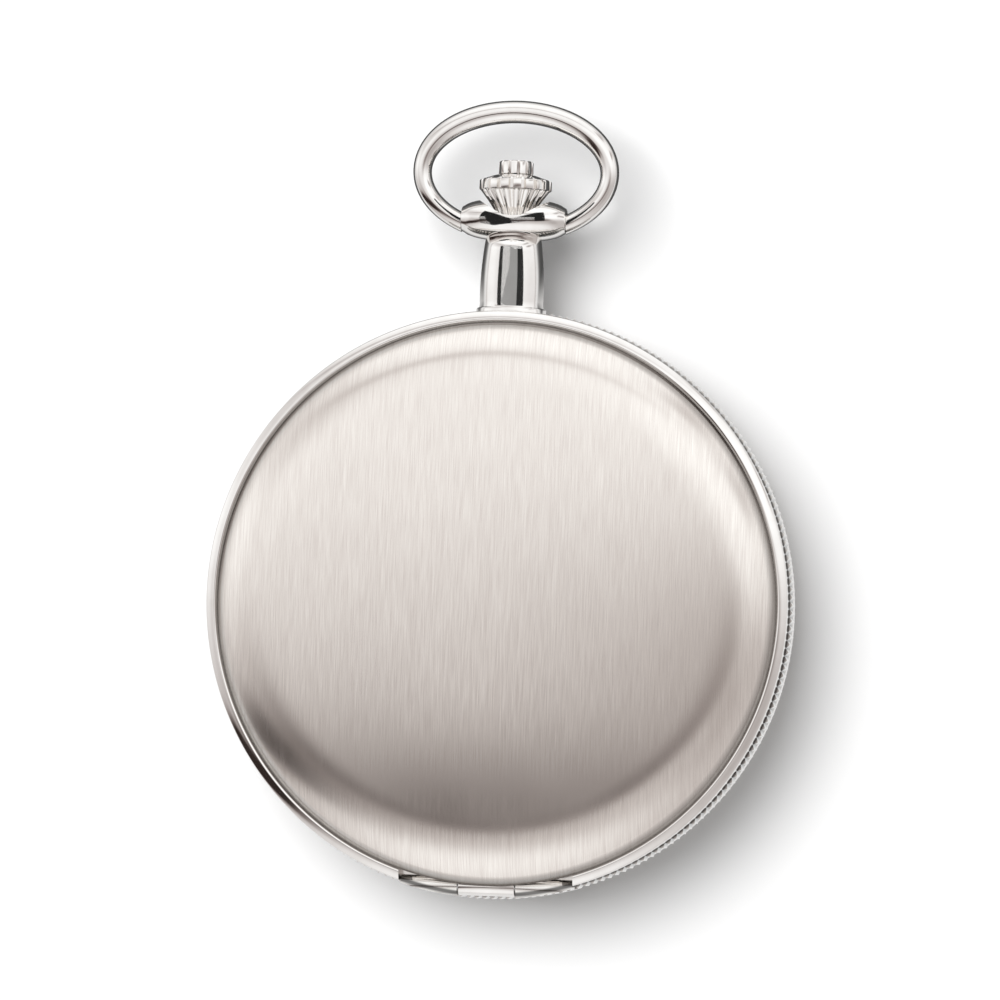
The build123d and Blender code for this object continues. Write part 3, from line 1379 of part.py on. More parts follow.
# where every gear has a tooth at rest
BARREL_PHASE = 0.0
CENTRE_LEAF_PHASE = meshing_phase(BARREL_PHASE, BARREL_TEETH, CENTRE_LEAVES, direction(BARREL, CENTRE))
THIRD_LEAF_PHASE = meshing_phase(0, CENTRE_TEETH, THIRD_LEAVES, direction(CENTRE, THIRD))
FOURTH_LEAF_PHASE = meshing_phase(0, THIRD_TEETH, FOURTH_LEAVES, direction(THIRD, FOURTH))
ESCAPE_LEAF_PHASE = meshing_phase(0, FOURTH_TEETH, ESCAPE_LEAVES, direction(FOURTH, ESCAPE))
CROWN_WHEEL_PHASE = 0.0
RATCHET_PHASE = meshing_phase(
    CROWN_WHEEL_PHASE, CROWN_WHEEL_TEETH, RATCHET_TEETH, direction(CROWN_WHEEL, BARREL)
)
CANNON_PHASE = 0.0
MINUTE_PHASE = meshing_phase(CANNON_PHASE, CANNON_TEETH, MINUTE_TEETH, direction(CENTRE, MINUTE_WHEEL))
SETTING_PHASE = meshing_phase(
    MINUTE_PHASE, MINUTE_TEETH, SETTING_TEETH, direction(MINUTE_WHEEL, SETTING_WHEEL)
)
HOUR_PHASE = meshing_phase(0, MINUTE_LEAVES, HOUR_TEETH, direction(MINUTE_WHEEL, CENTRE))

save(make_case_band(), "case_band")
save(make_pendant(), "pendant")
save(make_bow(), "bow")
save(make_crown(), "crown")
save(make_winding_stem(), "winding_stem")
save(make_release_button(), "release_button")
save(make_release_pin(), "release_pin")
save(make_cover_latch(), "cover_latch")
save(make_lift_spring(), "lift_spring")
save(make_front_cover(), "front_cover")
save(make_back_cover(), "back_cover")
save(make_hinge_pin(FRONT_PART), "front_hinge_pin")
save(make_hinge_pin(BACK_PART), "back_hinge_pin")
save(make_front_bezel(), "front_bezel")
save(make_crystal(), "crystal")
save(make_dial(), "dial")
save(make_cuvette_ring(), "cuvette_ring")
save(make_cuvette_glass(), "cuvette_glass")
save(make_movement_ring(), "movement_ring")
save(make_mainplate(), "mainplate")
save(make_barrel_bridge(), "barrel_bridge")
save(make_train_bridge(), "train_bridge")
save(make_balance_cock(), "balance_cock")
save(make_pallet_bridge(), "pallet_bridge")
save(make_bridge_screws(), "bridge_screws")
save(make_case_screws(), "case_screws")
save(make_jewels(), "jewels")
save(make_barrel(), "barrel")
save(make_barrel_cover(), "barrel_cover")
save(make_mainspring(), "mainspring")
save(make_barrel_arbor(), "barrel_arbor")
save(make_ratchet_wheel(), "ratchet_wheel")
save(make_wheel_screw(BARREL), "ratchet_screw")
save(make_crown_wheel(), "crown_wheel")
save(make_contrate_wheel(), "contrate_wheel")
save(make_wheel_screw(CROWN_WHEEL), "crown_wheel_screw")
save(make_click(), "click")
save(make_click_screw(), "click_screw")
save(make_click_spring(), "click_spring")
save(make_winding_pinion(), "winding_pinion")
save(make_sliding_pinion(), "sliding_pinion")
save(make_setting_wheel(), "setting_wheel")
save(make_centre_wheel(), "centre_wheel")
save(make_third_wheel(), "third_wheel")
save(make_fourth_wheel(), "fourth_wheel")
save(make_escape_wheel(), "escape_wheel")
save(make_pallet_fork(), "pallet_fork")
save(make_pallet_stones(), "pallet_stones")
save(make_balance_wheel(), "balance_wheel")
save(make_balance_screws(), "balance_screws")
save(make_balance_staff(), "balance_staff")
save(make_hairspring(), "hairspring")
save(make_cannon_pinion(), "cannon_pinion")
save(make_minute_wheel(), "minute_wheel")
save(make_hour_wheel(), "hour_wheel")
save(spade_hand(CENTRE, HOUR_HAND_LOW, 10.4, 2.0, 0.5, 1.4, 0.86, HOUR_HAND_ANGLE), "hour_hand")
save(spade_hand(CENTRE, MINUTE_HAND_LOW, 16.6, 2.6, 0.4, 1.1, 0.61, MINUTE_HAND_ANGLE), "minute_hand")
save(make_seconds_hand(), "seconds_hand")
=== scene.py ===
"""Looks for the hunter pocket watch: silver, dial print, light and camera around the CAD frame."""

import json
from math import cos, pi, radians, sin, sqrt, tan

import bmesh
import bpy
from mathutils import Matrix, Vector

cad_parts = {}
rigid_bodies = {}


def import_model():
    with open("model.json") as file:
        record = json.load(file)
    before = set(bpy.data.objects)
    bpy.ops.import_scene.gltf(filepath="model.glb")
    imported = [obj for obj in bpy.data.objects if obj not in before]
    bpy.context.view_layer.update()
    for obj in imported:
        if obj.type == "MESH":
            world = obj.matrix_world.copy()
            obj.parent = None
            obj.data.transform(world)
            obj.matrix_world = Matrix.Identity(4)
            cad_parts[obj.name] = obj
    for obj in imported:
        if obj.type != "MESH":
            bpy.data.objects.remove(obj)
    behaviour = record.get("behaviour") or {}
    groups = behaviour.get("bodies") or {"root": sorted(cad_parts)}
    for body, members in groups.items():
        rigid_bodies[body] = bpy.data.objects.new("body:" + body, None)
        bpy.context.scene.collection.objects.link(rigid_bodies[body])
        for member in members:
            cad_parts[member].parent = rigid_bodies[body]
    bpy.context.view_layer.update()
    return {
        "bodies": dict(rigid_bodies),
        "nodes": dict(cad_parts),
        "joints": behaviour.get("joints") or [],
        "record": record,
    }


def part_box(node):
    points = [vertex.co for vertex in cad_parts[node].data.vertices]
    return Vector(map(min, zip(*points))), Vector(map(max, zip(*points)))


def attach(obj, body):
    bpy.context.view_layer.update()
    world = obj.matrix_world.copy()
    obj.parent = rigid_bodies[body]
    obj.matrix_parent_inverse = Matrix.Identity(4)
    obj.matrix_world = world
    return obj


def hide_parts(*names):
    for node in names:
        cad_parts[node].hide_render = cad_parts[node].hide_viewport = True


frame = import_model()
NODES = frame["nodes"]
JOINTS = {j["name"]: j for j in frame["joints"]}
MM = 0.001
scene = bpy.context.scene


def joint_mm(name):
    return [v / MM for v in JOINTS[name]["pos_m"]]


def box_mm(node):
    low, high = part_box(node)
    return [v / MM for v in low], [v / MM for v in high]


# ------------------------------------------------------------------ places taken from the frame, in mm
FRONT_PART = joint_mm("front_cover_hinge")[2]
BACK_PART = joint_mm("back_cover_hinge")[2]
HINGE_Y = joint_mm("front_cover_hinge")[1]
STEM_Z = joint_mm("crown_spin")[2]
PIVOT_Y = joint_mm("bow_hinge")[1]
TOP_Z = box_mm("front_cover")[1][2]
DOME_HEIGHT = TOP_Z - FRONT_PART
STEM = Matrix.Translation((0, 0, STEM_Z)) @ Matrix.Rotation(-pi / 2, 4, "X")


# ------------------------------------------------------------------ mesh helpers
def finish_mesh(mesh, angle=32):
    """Smooth shading, with edges sharper than the angle kept crisp."""
    mesh.shade_smooth()
    mesh.set_sharp_from_angle(angle=radians(angle))


def make_object(name, bm, materials, angle=32):
    """A new object from a bmesh in mm."""
    bmesh.ops.recalc_face_normals(bm, faces=bm.faces)
    bmesh.ops.scale(bm, vec=(MM, MM, MM), verts=bm.verts)
    mesh = bpy.data.meshes.new(name)
    bm.to_mesh(mesh)
    bm.free()
    finish_mesh(mesh, angle)
    for material in materials:
        mesh.materials.append(material)
    piece = bpy.data.objects.new(name, mesh)
    scene.collection.objects.link(piece)
    return piece


def lathe(bm, profile, segments, place=Matrix(), slot_of=None):
    """Turns a closed (radius, height) profile about local Z. slot_of(k) gives band k's material index."""
    rings = []
    for r, h in profile:
        if r < 1e-6:
            rings.append([bm.verts.new(place @ Vector((0, 0, h)))])
            continue
        ring = []
        for s in range(segments):
            a = 2 * pi * s / segments
            ring.append(bm.verts.new(place @ Vector((r * cos(a), r * sin(a), h))))
        rings.append(ring)
    for k in range(len(rings)):
        one, two = rings[k], rings[(k + 1) % len(rings)]
        if len(one) == 1 and len(two) == 1:
            continue
        for s in range(segments):
            n = (s + 1) % segments
            corners = [one[s % len(one)], one[n % len(one)], two[n % len(two)], two[s % len(two)]]
            corners = list(dict.fromkeys(corners))
            face = bm.faces.new(corners)
            if slot_of:
                face.material_index = slot_of(k)
    return bm


def block(bm, low, high):
    """A box between two corners, in mm."""
    made = bmesh.ops.create_cube(bm, size=1)
    middle = [(a + b) / 2 for a, b in zip(low, high)]
    size = [b - a for a, b in zip(low, high)]
    for v in made["verts"]:
        v.co = Vector([m + c * s for m, c, s in zip(middle, v.co, size)])
    return made["verts"]


def boolean(piece, tool, operation, angle=32):
    """Applies a boolean with a closed bmesh in mm, or with another piece, and drops the tool."""
    if isinstance(tool, bmesh.types.BMesh):
        tool = make_object("tool", tool, [])
    modifier = piece.modifiers.new("cut", "BOOLEAN")
    modifier.operation = operation
    modifier.object = tool
    modifier.solver = "MANIFOLD"
    graph = bpy.context.evaluated_depsgraph_get()
    mesh = bpy.data.meshes.new_from_object(piece.evaluated_get(graph))
    piece.modifiers.clear()
    old = piece.data
    piece.data = mesh
    bpy.data.meshes.remove(old)
    bpy.data.objects.remove(tool)
    finish_mesh(piece.data, angle)
    return piece


# ------------------------------------------------------------------ materials
# painted shade: its colour, and for the dome's crease and the reeding's root the radii in mm where it grows
# and fades, and its strength
PAINTED_SHADE_COLOUR = (0.02, 0.018, 0.018)
CREASE_IN, CREASE_OUT, CREASE_SHARE = (23.1, 23.8), (23.94, 23.9), 0.72
REEDING_IN, REEDING_OUT, REEDING_SHARE = (24.4, 24.55), (24.95, 24.74), 0.8


def new_material(name):
    material = bpy.data.materials.new(name)
    material.use_nodes = True
    nodes, links = material.node_tree.nodes, material.node_tree.links
    bsdf = nodes["Principled BSDF"]
    return material, nodes, links, bsdf


def stretched_noise(nodes, links, scale, detail=2.0):
    """Noise in object space with its own scale along each axis, in cells per metre."""
    place = nodes.new("ShaderNodeTexCoord")
    mapping = nodes.new("ShaderNodeMapping")
    mapping.inputs["Scale"].default_value = scale
    noise = nodes.new("ShaderNodeTexNoise")
    noise.inputs["Scale"].default_value = 1.0
    noise.inputs["Detail"].default_value = detail
    links.new(place.outputs["Object"], mapping.inputs["Vector"])
    links.new(mapping.outputs["Vector"], noise.inputs["Vector"])
    return noise.outputs["Fac"]


def remap(nodes, links, value, low, high, from_low=0.3, from_high=0.7):
    """Spreads a value over low to high. Noise stays mostly within the default range."""
    node = nodes.new("ShaderNodeMapRange")
    node.inputs["From Min"].default_value = from_low
    node.inputs["From Max"].default_value = from_high
    node.inputs["To Min"].default_value = low
    node.inputs["To Max"].default_value = high
    links.new(value, node.inputs["Value"])
    return node.outputs["Result"]


def tint(nodes, links, value, dark, light):
    """A colour between two, by value."""
    node = nodes.new("ShaderNodeMix")
    node.data_type = "RGBA"
    node.inputs["A"].default_value = (*dark, 1)
    node.inputs["B"].default_value = (*light, 1)
    links.new(value, node.inputs["Factor"])
    return node.outputs["Result"]


def bump(nodes, links, bsdf, height, strength, distance):
    """Fine relief under the smooth shape, its distance in metres."""
    node = nodes.new("ShaderNodeBump")
    node.inputs["Strength"].default_value = strength
    node.inputs["Distance"].default_value = distance
    links.new(height, node.inputs["Height"])
    links.new(node.outputs["Normal"], bsdf.inputs["Normal"])


def ring_shade(nodes, links, inner, outer, most):
    """Painted shade in a ring about the watch's axis. It grows over inner's radii and fades over outer's, in
    mm.
    """
    place = nodes.new("ShaderNodeTexCoord")
    flat = nodes.new("ShaderNodeVectorMath")
    flat.operation = "MULTIPLY"
    flat.inputs[1].default_value = (1, 1, 0)
    size = nodes.new("ShaderNodeVectorMath")
    size.operation = "LENGTH"
    links.new(place.outputs["Object"], flat.inputs[0])
    links.new(flat.outputs["Vector"], size.inputs[0])
    grow = remap(nodes, links, size.outputs["Value"], 0.0, most, inner[0] * MM, inner[1] * MM)
    fade = remap(nodes, links, size.outputs["Value"], 0.0, 1.0, outer[0] * MM, outer[1] * MM)
    both = nodes.new("ShaderNodeMath")
    both.operation = "MULTIPLY"
    links.new(grow, both.inputs[0])
    links.new(fade, both.inputs[1])
    return both.outputs["Value"]


def darken(nodes, links, colour, share):
    """Takes the colour towards the painted shade's colour by share."""
    node = nodes.new("ShaderNodeMix")
    node.data_type = "RGBA"
    node.inputs["B"].default_value = (*PAINTED_SHADE_COLOUR, 1)
    links.new(colour, node.inputs["A"])
    links.new(share, node.inputs["Factor"])
    return node.outputs["Result"]


def satin_silver():
    """Silver brushed along Y: fine long streaks, and a reflection drawn out across the grain."""
    material, nodes, links, bsdf = new_material("satin_silver")
    fine = stretched_noise(nodes, links, (11000, 330, 400), 3.0)
    wide = stretched_noise(nodes, links, (2600, 110, 200), 2.0)
    cloud = stretched_noise(nodes, links, (90, 45, 90), 2.0)
    mix = nodes.new("ShaderNodeMath")
    mix.operation = "MULTIPLY_ADD"
    mix.inputs[1].default_value = 0.2
    links.new(wide, mix.inputs[0])
    links.new(fine, mix.inputs[2])
    streaks = remap(nodes, links, mix.outputs["Value"], 0.0, 1.0, 0.36, 0.84)
    brushed = tint(nodes, links, streaks, (0.83, 0.773, 0.731), (0.99, 0.947, 0.898))
    # painted shade in the crease where the dome turns into the rim
    crease = ring_shade(nodes, links, CREASE_IN, CREASE_OUT, CREASE_SHARE)
    links.new(darken(nodes, links, brushed, crease), bsdf.inputs["Base Color"])
    rough = nodes.new("ShaderNodeMath")
    rough.operation = "ADD"
    links.new(remap(nodes, links, streaks, 0.26, 0.20, 0.0, 1.0), rough.inputs[0])
    links.new(remap(nodes, links, cloud, -0.02, 0.03), rough.inputs[1])
    links.new(rough.outputs["Value"], bsdf.inputs["Roughness"])
    bsdf.inputs["Metallic"].default_value = 1.0
    bsdf.inputs["Anisotropic"].default_value = 0.6
    across = nodes.new("ShaderNodeVectorTransform")
    across.vector_type = "VECTOR"
    across.convert_from = "OBJECT"
    across.convert_to = "WORLD"
    across.inputs["Vector"].default_value = (1, 0, 0)
    links.new(across.outputs["Vector"], bsdf.inputs["Tangent"])
    bump(nodes, links, bsdf, streaks, 0.05, 0.000003)
    return material


def polished(name, dark, light, rough_low, rough_high, scuffs=0.03, groove=False):
    """Polished metal with smears and hairline scuffs. With groove, shade is painted at the reeding's root."""
    material, nodes, links, bsdf = new_material(name)
    smear = stretched_noise(nodes, links, (700, 500, 600), 3.0)
    hair = stretched_noise(nodes, links, (5000, 900, 2600), 2.0)
    colour = tint(nodes, links, remap(nodes, links, smear, 0, 1), dark, light)
    if groove:
        # painted shade at the reeding's root
        shade = ring_shade(nodes, links, REEDING_IN, REEDING_OUT, REEDING_SHARE)
        colour = darken(nodes, links, colour, shade)
    links.new(colour, bsdf.inputs["Base Color"])
    links.new(remap(nodes, links, smear, rough_low, rough_high), bsdf.inputs["Roughness"])
    bsdf.inputs["Metallic"].default_value = 1.0
    bump(nodes, links, bsdf, hair, scuffs, 0.00001)
    return material


def striped_nickel():
    """Nickel plates with broad wavy stripes, as bridges are finished."""
    material, nodes, links, bsdf = new_material("striped_nickel")
    place = nodes.new("ShaderNodeTexCoord")
    mapping = nodes.new("ShaderNodeMapping")
    mapping.inputs["Rotation"].default_value = (0, 0, radians(35))
    wave = nodes.new("ShaderNodeTexWave")
    wave.inputs["Scale"].default_value = 160
    wave.inputs["Distortion"].default_value = 0.3
    links.new(place.outputs["Object"], mapping.inputs["Vector"])
    links.new(mapping.outputs["Vector"], wave.inputs["Vector"])
    grain = stretched_noise(nodes, links, (4000, 4000, 900), 3.0)
    stripes = tint(nodes, links, wave.outputs["Fac"], (0.62, 0.60, 0.55), (0.86, 0.83, 0.77))
    links.new(stripes, bsdf.inputs["Base Color"])
    links.new(remap(nodes, links, grain, 0.22, 0.36), bsdf.inputs["Roughness"])
    bsdf.inputs["Metallic"].default_value = 1.0
    bump(nodes, links, bsdf, wave.outputs["Fac"], 0.5, 0.00004)
    return material


def enamel():
    """Off-white enamel with a thin glaze."""
    material, nodes, links, bsdf = new_material("dial_enamel")
    cloud = stretched_noise(nodes, links, (300, 300, 300), 3.0)
    links.new(tint(nodes, links, cloud, (0.86, 0.845, 0.81), (0.91, 0.90, 0.87)), bsdf.inputs["Base Color"])
    links.new(remap(nodes, links, cloud, 0.12, 0.2), bsdf.inputs["Roughness"])
    bsdf.inputs["Coat Weight"].default_value = 0.4
    bump(nodes, links, bsdf, stretched_noise(nodes, links, (700, 700, 700), 1.0), 0.05, 0.00002)
    return material


def clear_glass():
    """Crystal with faint smears."""
    material, nodes, links, bsdf = new_material("crystal_glass")
    smear = stretched_noise(nodes, links, (200, 260, 200), 3.0)
    bsdf.inputs["Base Color"].default_value = (0.97, 0.99, 0.985, 1)
    links.new(remap(nodes, links, smear, 0.0, 0.04), bsdf.inputs["Roughness"])
    bsdf.inputs["IOR"].default_value = 1.5
    bsdf.inputs["Transmission Weight"].default_value = 1.0
    return material


def ink(name, colour):
    """Printed paint, a little uneven."""
    material, nodes, links, bsdf = new_material(name)
    cloud = stretched_noise(nodes, links, (1500, 1500, 1500), 2.0)
    lighter = tuple(min(1, c * 1.6 + 0.01) for c in colour)
    links.new(tint(nodes, links, cloud, colour, lighter), bsdf.inputs["Base Color"])
    links.new(remap(nodes, links, cloud, 0.35, 0.5), bsdf.inputs["Roughness"])
    return material


def ruby():
    """Jewels, half clear."""
    material, nodes, links, bsdf = new_material("ruby")
    cloud = stretched_noise(nodes, links, (2500, 2500, 2500), 2.0)
    links.new(tint(nodes, links, cloud, (0.42, 0.01, 0.05), (0.65, 0.03, 0.10)), bsdf.inputs["Base Color"])
    links.new(remap(nodes, links, cloud, 0.03, 0.08), bsdf.inputs["Roughness"])
    bsdf.inputs["Transmission Weight"].default_value = 0.5
    bsdf.inputs["IOR"].default_value = 1.76
    return material


SATIN = satin_silver()
SILVER = polished("polished_silver", (0.90, 0.877, 0.852), (0.96, 0.94, 0.92), 0.05, 0.10)
BAND = polished("band_silver", (0.87, 0.85, 0.82), (0.93, 0.91, 0.88), 0.11, 0.16, groove=True)
STEEL = polished("polished_steel", (0.50, 0.50, 0.51), (0.66, 0.66, 0.66), 0.12, 0.22)
BLUED = polished("blued_steel", (0.02, 0.04, 0.22), (0.04, 0.10, 0.42), 0.12, 0.24)
BRASS = polished("gilt_brass", (0.78, 0.57, 0.25), (0.90, 0.71, 0.36), 0.18, 0.30, 0.08)
NICKEL = striped_nickel()
ENAMEL = enamel()
GLASS = clear_glass()
RUBY = ruby()
BLACK_INK = ink("dial_ink", (0.012, 0.012, 0.014))
SLOT_MATERIAL = {
    "cover_satin": SATIN,
    "case_silver": SILVER,
    "band_silver": BAND,
    "steel_polished": STEEL,
    "steel_blued": BLUED,
    "nickel_bridges": NICKEL,
    "brass_gilt": BRASS,
    "ruby": RUBY,
    "crystal_glass": GLASS,
    "dial_enamel": ENAMEL,
}


def dress_nodes():
    """Every carried-over CAD node takes its slot's material, and smooth shading up to its real edges."""
    for entry in frame["record"]["subparts"]:
        node = NODES[entry["node"]]
        node.data.materials.clear()
        node.data.materials.append(SLOT_MATERIAL[entry["material_slot"]])
        finish_mesh(node.data, 28)


dress_nodes()

# ------------------------------------------------------------------ covers
FIELD_R = 210.0  # the dome's middle is part of a sphere of this radius
TURN_R = 18.0  # from here the dome turns down
TURN_POWER = 2.2
STEEPEST = 1.25
EDGE_R, EDGE_H = 23.8, 1.25
RIM_TURN = ((23.86, 1.38), (23.92, 1.47), (23.99, 1.525), (24.07, 1.545))  # from the crease to the crest
RIM_WIDE = 0.6
RIM_SLOPE, RIM_SLOPE_GAIN = 12, 20
RIM_R = 24.75
INNER_R = 23.0
SHEET = 0.6


def dome_slope(r, gain):
    """Slope of the dome: a shallow sphere that turns down ever faster beyond TURN_R."""
    over = max(0.0, (r - TURN_R) / (EDGE_R - TURN_R))
    return tan(min(STEEPEST, r / FIELD_R + gain * over**TURN_POWER))


def dome_points(count=150):
    """(radius, height) points from the middle out, with the drop scaled to end at the edge's height."""
    low, high = 0.1, 2.0
    for _ in range(40):
        gain = (low + high) / 2
        points, z = [(0.0, DOME_HEIGHT)], DOME_HEIGHT
        for i in range(count):
            r0, r1 = EDGE_R * i / count, EDGE_R * (i + 1) / count
            z -= dome_slope((r0 + r1) / 2, gain) * (r1 - r0)
            points.append((r1, z))
        if z > EDGE_H:
            low = gain
        else:
            high = gain
    return points


def cover_profile():
    """(outer points, inner points, index where the polished rim starts), heights over the parting plane."""
    outer = dome_points()
    rim_start = len(outer)
    outer += RIM_TURN
    steps = 12
    r, z = outer[-1]
    for i in range(steps):
        step = RIM_WIDE / steps
        r, z = r + step, z - step * tan(radians(RIM_SLOPE + RIM_SLOPE_GAIN * (i + 0.5) / steps))
        outer.append((r, z))
    outer += [(RIM_R - 0.02, z - 0.06), (RIM_R, z - 0.14)]
    outer += [(RIM_R, 0.14), (RIM_R - 0.04, 0.05), (RIM_R - 0.12, 0.02)]
    inner = [(INNER_R + 0.05, 0.02), (INNER_R, 0.08), (INNER_R, EDGE_H)]
    for r, z in outer[rim_start - 8 : 0 : -6]:
        if r < INNER_R - 0.6:
            inner.append((r, z - SHEET))
    inner.append((0, DOME_HEIGHT - SHEET))
    return outer, inner, rim_start


HINGE_CUT_Y = HINGE_Y + 0.88
HINGE_LENGTH = 14.7
GAP_HALF = HINGE_LENGTH / 2 + 0.05
KNUCKLE_HALF = HINGE_LENGTH / 6 - 0.05
KNUCKLE_R = 0.8
HINGE_BORE = 0.32
HINGE_OUTER_R = 24.95
LIP_R = EDGE_R + 0.06
LIP_LOW = 0.87


def cylinder(radius, low, high, inner=0):
    """A fine disc or ring about the watch's own axis."""
    return lathe(bmesh.new(), [(inner, low), (radius, low), (radius, high), (inner, high)], 720)


def rim_gap(low, high):
    """The piece of rim that makes way for the hinge, outside the dome's lip."""
    gap = make_object("gap", cylinder(27, low, high, LIP_R), [])
    keep = bmesh.new()
    block(keep, (-GAP_HALF, -28, low - 1), (GAP_HALF, HINGE_CUT_Y + 1, high + 1))
    return boolean(gap, keep, "INTERSECT")


def knuckle(part_z):
    """The cover's hinge knuckle: a tube with softened ends, filed round to the case's edge."""
    half = KNUCKLE_HALF
    place = Matrix.Translation((0, HINGE_Y, part_z)) @ Matrix.Rotation(pi / 2, 4, "Y")
    profile = [(HINGE_BORE, -half), (KNUCKLE_R - 0.07, -half)]
    profile += [(KNUCKLE_R - 0.02, -half + 0.02), (KNUCKLE_R, -half + 0.07)]
    profile += [(r, -h) for r, h in profile[::-1]]
    tube = make_object("tube", lathe(bmesh.new(), profile, 64, place), [])
    return boolean(tube, cylinder(HINGE_OUTER_R, part_z - 2, part_z + 2), "INTERSECT")


def make_cover(node, up, part_z, trim_z=None):
    """up is 1 for the front cover and -1 for the back. trim_z flattens the dome to lie on the floor."""
    outer, inner, rim_start = cover_profile()
    bm = bmesh.new()
    place = Matrix.Translation((0, 0, part_z)) @ Matrix.Diagonal((1, 1, up, 1))
    lathe(bm, outer + inner, 360, place, slot_of=lambda k: 1 if rim_start - 1 <= k < len(outer) else 0)
    piece = make_object(node + "_shell", bm, [SATIN, SILVER])
    boolean(piece, rim_gap(*sorted((part_z - up, part_z + 3 * up))), "DIFFERENCE")
    room = bmesh.new()
    low_z, high_z = sorted((part_z - up, part_z + up * LIP_LOW))
    block(room, (-GAP_HALF, HINGE_CUT_Y - 3, low_z), (GAP_HALF, HINGE_CUT_Y, high_z))
    boolean(piece, room, "DIFFERENCE")
    if trim_z is not None:
        flat = bmesh.new()
        block(flat, (-12, -12, trim_z - 2), (12, 12, trim_z))
        boolean(piece, flat, "DIFFERENCE")
    root = bmesh.new()
    low_z, high_z = sorted((part_z + up * 0.1, part_z + up * 1.1))
    block(root, (-KNUCKLE_HALF, HINGE_CUT_Y - 0.43, low_z), (KNUCKLE_HALF, HINGE_CUT_Y + 0.07, high_z))
    boolean(piece, root, "UNION")
    boolean(piece, knuckle(part_z), "UNION")
    for face in piece.data.polygons:
        x, y, z = face.center / MM
        rise = (z - part_z) * up
        if y < HINGE_CUT_Y + 0.1 and (rise < LIP_LOW + 0.02 or x * x + y * y > (LIP_R - 0.02) ** 2):
            face.material_index = 1
    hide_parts(node)
    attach(piece, node)


make_cover("front_cover", 1, FRONT_PART)
make_cover("back_cover", -1, BACK_PART, 0.0)

# ------------------------------------------------------------------ pendant
HEAD_HALF = box_mm("pendant")[1][0]
HEAD_DEPTH = 1.22  # the head is this much deeper than it is tall
HEAD_END_R, HEAD_SWELL = 1.1, 0.7
NECK_FOOT = 25.22
NECK_TUCK, NECK_TUCK_Y = 0.95, 30.3  # the neck thins by this from here up, to end inside the head
NECK_BORE = 1.06
CROWN_BOX = box_mm("crown")
CROWN_BASE, CROWN_TOP = CROWN_BOX[0][1], CROWN_BOX[1][1]
CROWN_R = CROWN_BOX[1][0]
CROWN_SEAT = CROWN_BASE - 0.45
BAND_R = 24.7
PIN_R = 0.6


def oval_rings(bm, sections, segments=96):
    """Rings about the stem from (y, half width, half thickness) sections."""
    angles = [2 * pi * s / segments for s in range(segments)]
    rings = []
    for y, half_x, half_z in sections:
        rings.append([bm.verts.new((half_x * cos(a), y, STEM_Z + half_z * sin(a))) for a in angles])
    return rings


def close_rings(bm, rings, loop=False):
    """Joins rings of equal count, and either closes the loop or caps both ends."""
    pairs = list(zip(rings, rings[1:]))
    if loop:
        pairs.append((rings[-1], rings[0]))
    for one, two in pairs:
        count = len(one)
        for s in range(count):
            n = (s + 1) % count
            bm.faces.new((one[s], one[n], two[n], two[s]))
    if not loop:
        bm.faces.new(rings[0])
        bm.faces.new(rings[-1][::-1])


def smooth_step(t):
    """0 to 1 with level ends."""
    t = max(0.0, min(1.0, t))
    return t * t * (3 - 2 * t)


def make_neck():
    """A collar on the band, then a tube that swells a little and narrows to the head."""
    sections = [(22.5, 2.98, 2.32), (25.05, 2.98, 2.32), (25.16, 2.9, 2.3), (NECK_FOOT, 2.74, 2.27)]
    steps = 30
    for i in range(1, steps + 1):
        t = i / steps
        y = NECK_FOOT + t * (PIVOT_Y - NECK_FOOT)
        swell = 0.10 * sin(pi * min(1, t * 1.25))
        tuck = NECK_TUCK * smooth_step((y - NECK_TUCK_Y) / 1.6)
        sections.append((y, 2.70 - 0.46 * t**1.4 + swell, 2.25 - 0.17 * t - tuck))
    bm = bmesh.new()
    close_rings(bm, oval_rings(bm, sections))
    return make_object("pendant_tube", bm, [SILVER])


def make_head():
    """A barrel across the neck's end, with flat ends for the bow."""
    bm = bmesh.new()
    ends = [(0.0, -HEAD_HALF), (1.0, -HEAD_HALF), (1.07, -HEAD_HALF + 0.03), (HEAD_END_R, -HEAD_HALF + 0.1)]
    points = []
    steps = 24
    for i in range(1, steps):
        x = -HEAD_HALF + 0.1 + (2 * HEAD_HALF - 0.2) * i / steps
        k = abs(x) / (HEAD_HALF - 0.1)
        points.append((HEAD_END_R + HEAD_SWELL * (1 - k**3.2) ** 0.8, x))
    profile = ends + points + [(r, -h) for r, h in ends[::-1]]
    place = Matrix.Translation((0, PIVOT_Y, STEM_Z)) @ Matrix.Rotation(pi / 2, 4, "Y")
    return lathe(bm, profile, 96, place @ Matrix.Diagonal((HEAD_DEPTH, 1, 1, 1)))


def make_pendant():
    """Neck and head in one, cut for the crown, the band, the stem and the bow's pins."""
    piece = make_neck()
    boolean(piece, make_head(), "UNION")
    saddle = bmesh.new()
    low = CROWN_SEAT - 0.1
    profile = [(0, low), (1.6, low), (2.3, low + 0.15)]
    profile += [(CROWN_R + 0.2, CROWN_BASE + 1.4), (CROWN_R + 0.2, CROWN_TOP), (0, CROWN_TOP)]
    lathe(saddle, profile, 96, STEM)
    boolean(piece, saddle, "DIFFERENCE")
    inside = bmesh.new()
    lathe(inside, [(0, -5), (BAND_R + 0.02, -5), (BAND_R + 0.02, 20), (0, 20)], 360)
    boolean(piece, inside, "DIFFERENCE")
    bore = bmesh.new()
    lathe(bore, [(0, 20), (NECK_BORE, 20), (NECK_BORE, 36), (0, 36)], 64, STEM)
    boolean(piece, bore, "DIFFERENCE")
    for side in (-1, 1):
        hole = bmesh.new()
        place = Matrix.Translation((side * HEAD_HALF, PIVOT_Y, STEM_Z))
        place = place @ Matrix.Rotation(pi / 2, 4, "Y")
        lathe(hole, [(0, -1.05), (PIN_R + 0.04, -1.05), (PIN_R + 0.04, 1.05), (0, 1.05)], 48, place)
        boolean(piece, hole, "DIFFERENCE")
    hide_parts("pendant")
    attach(piece, "case")


make_pendant()

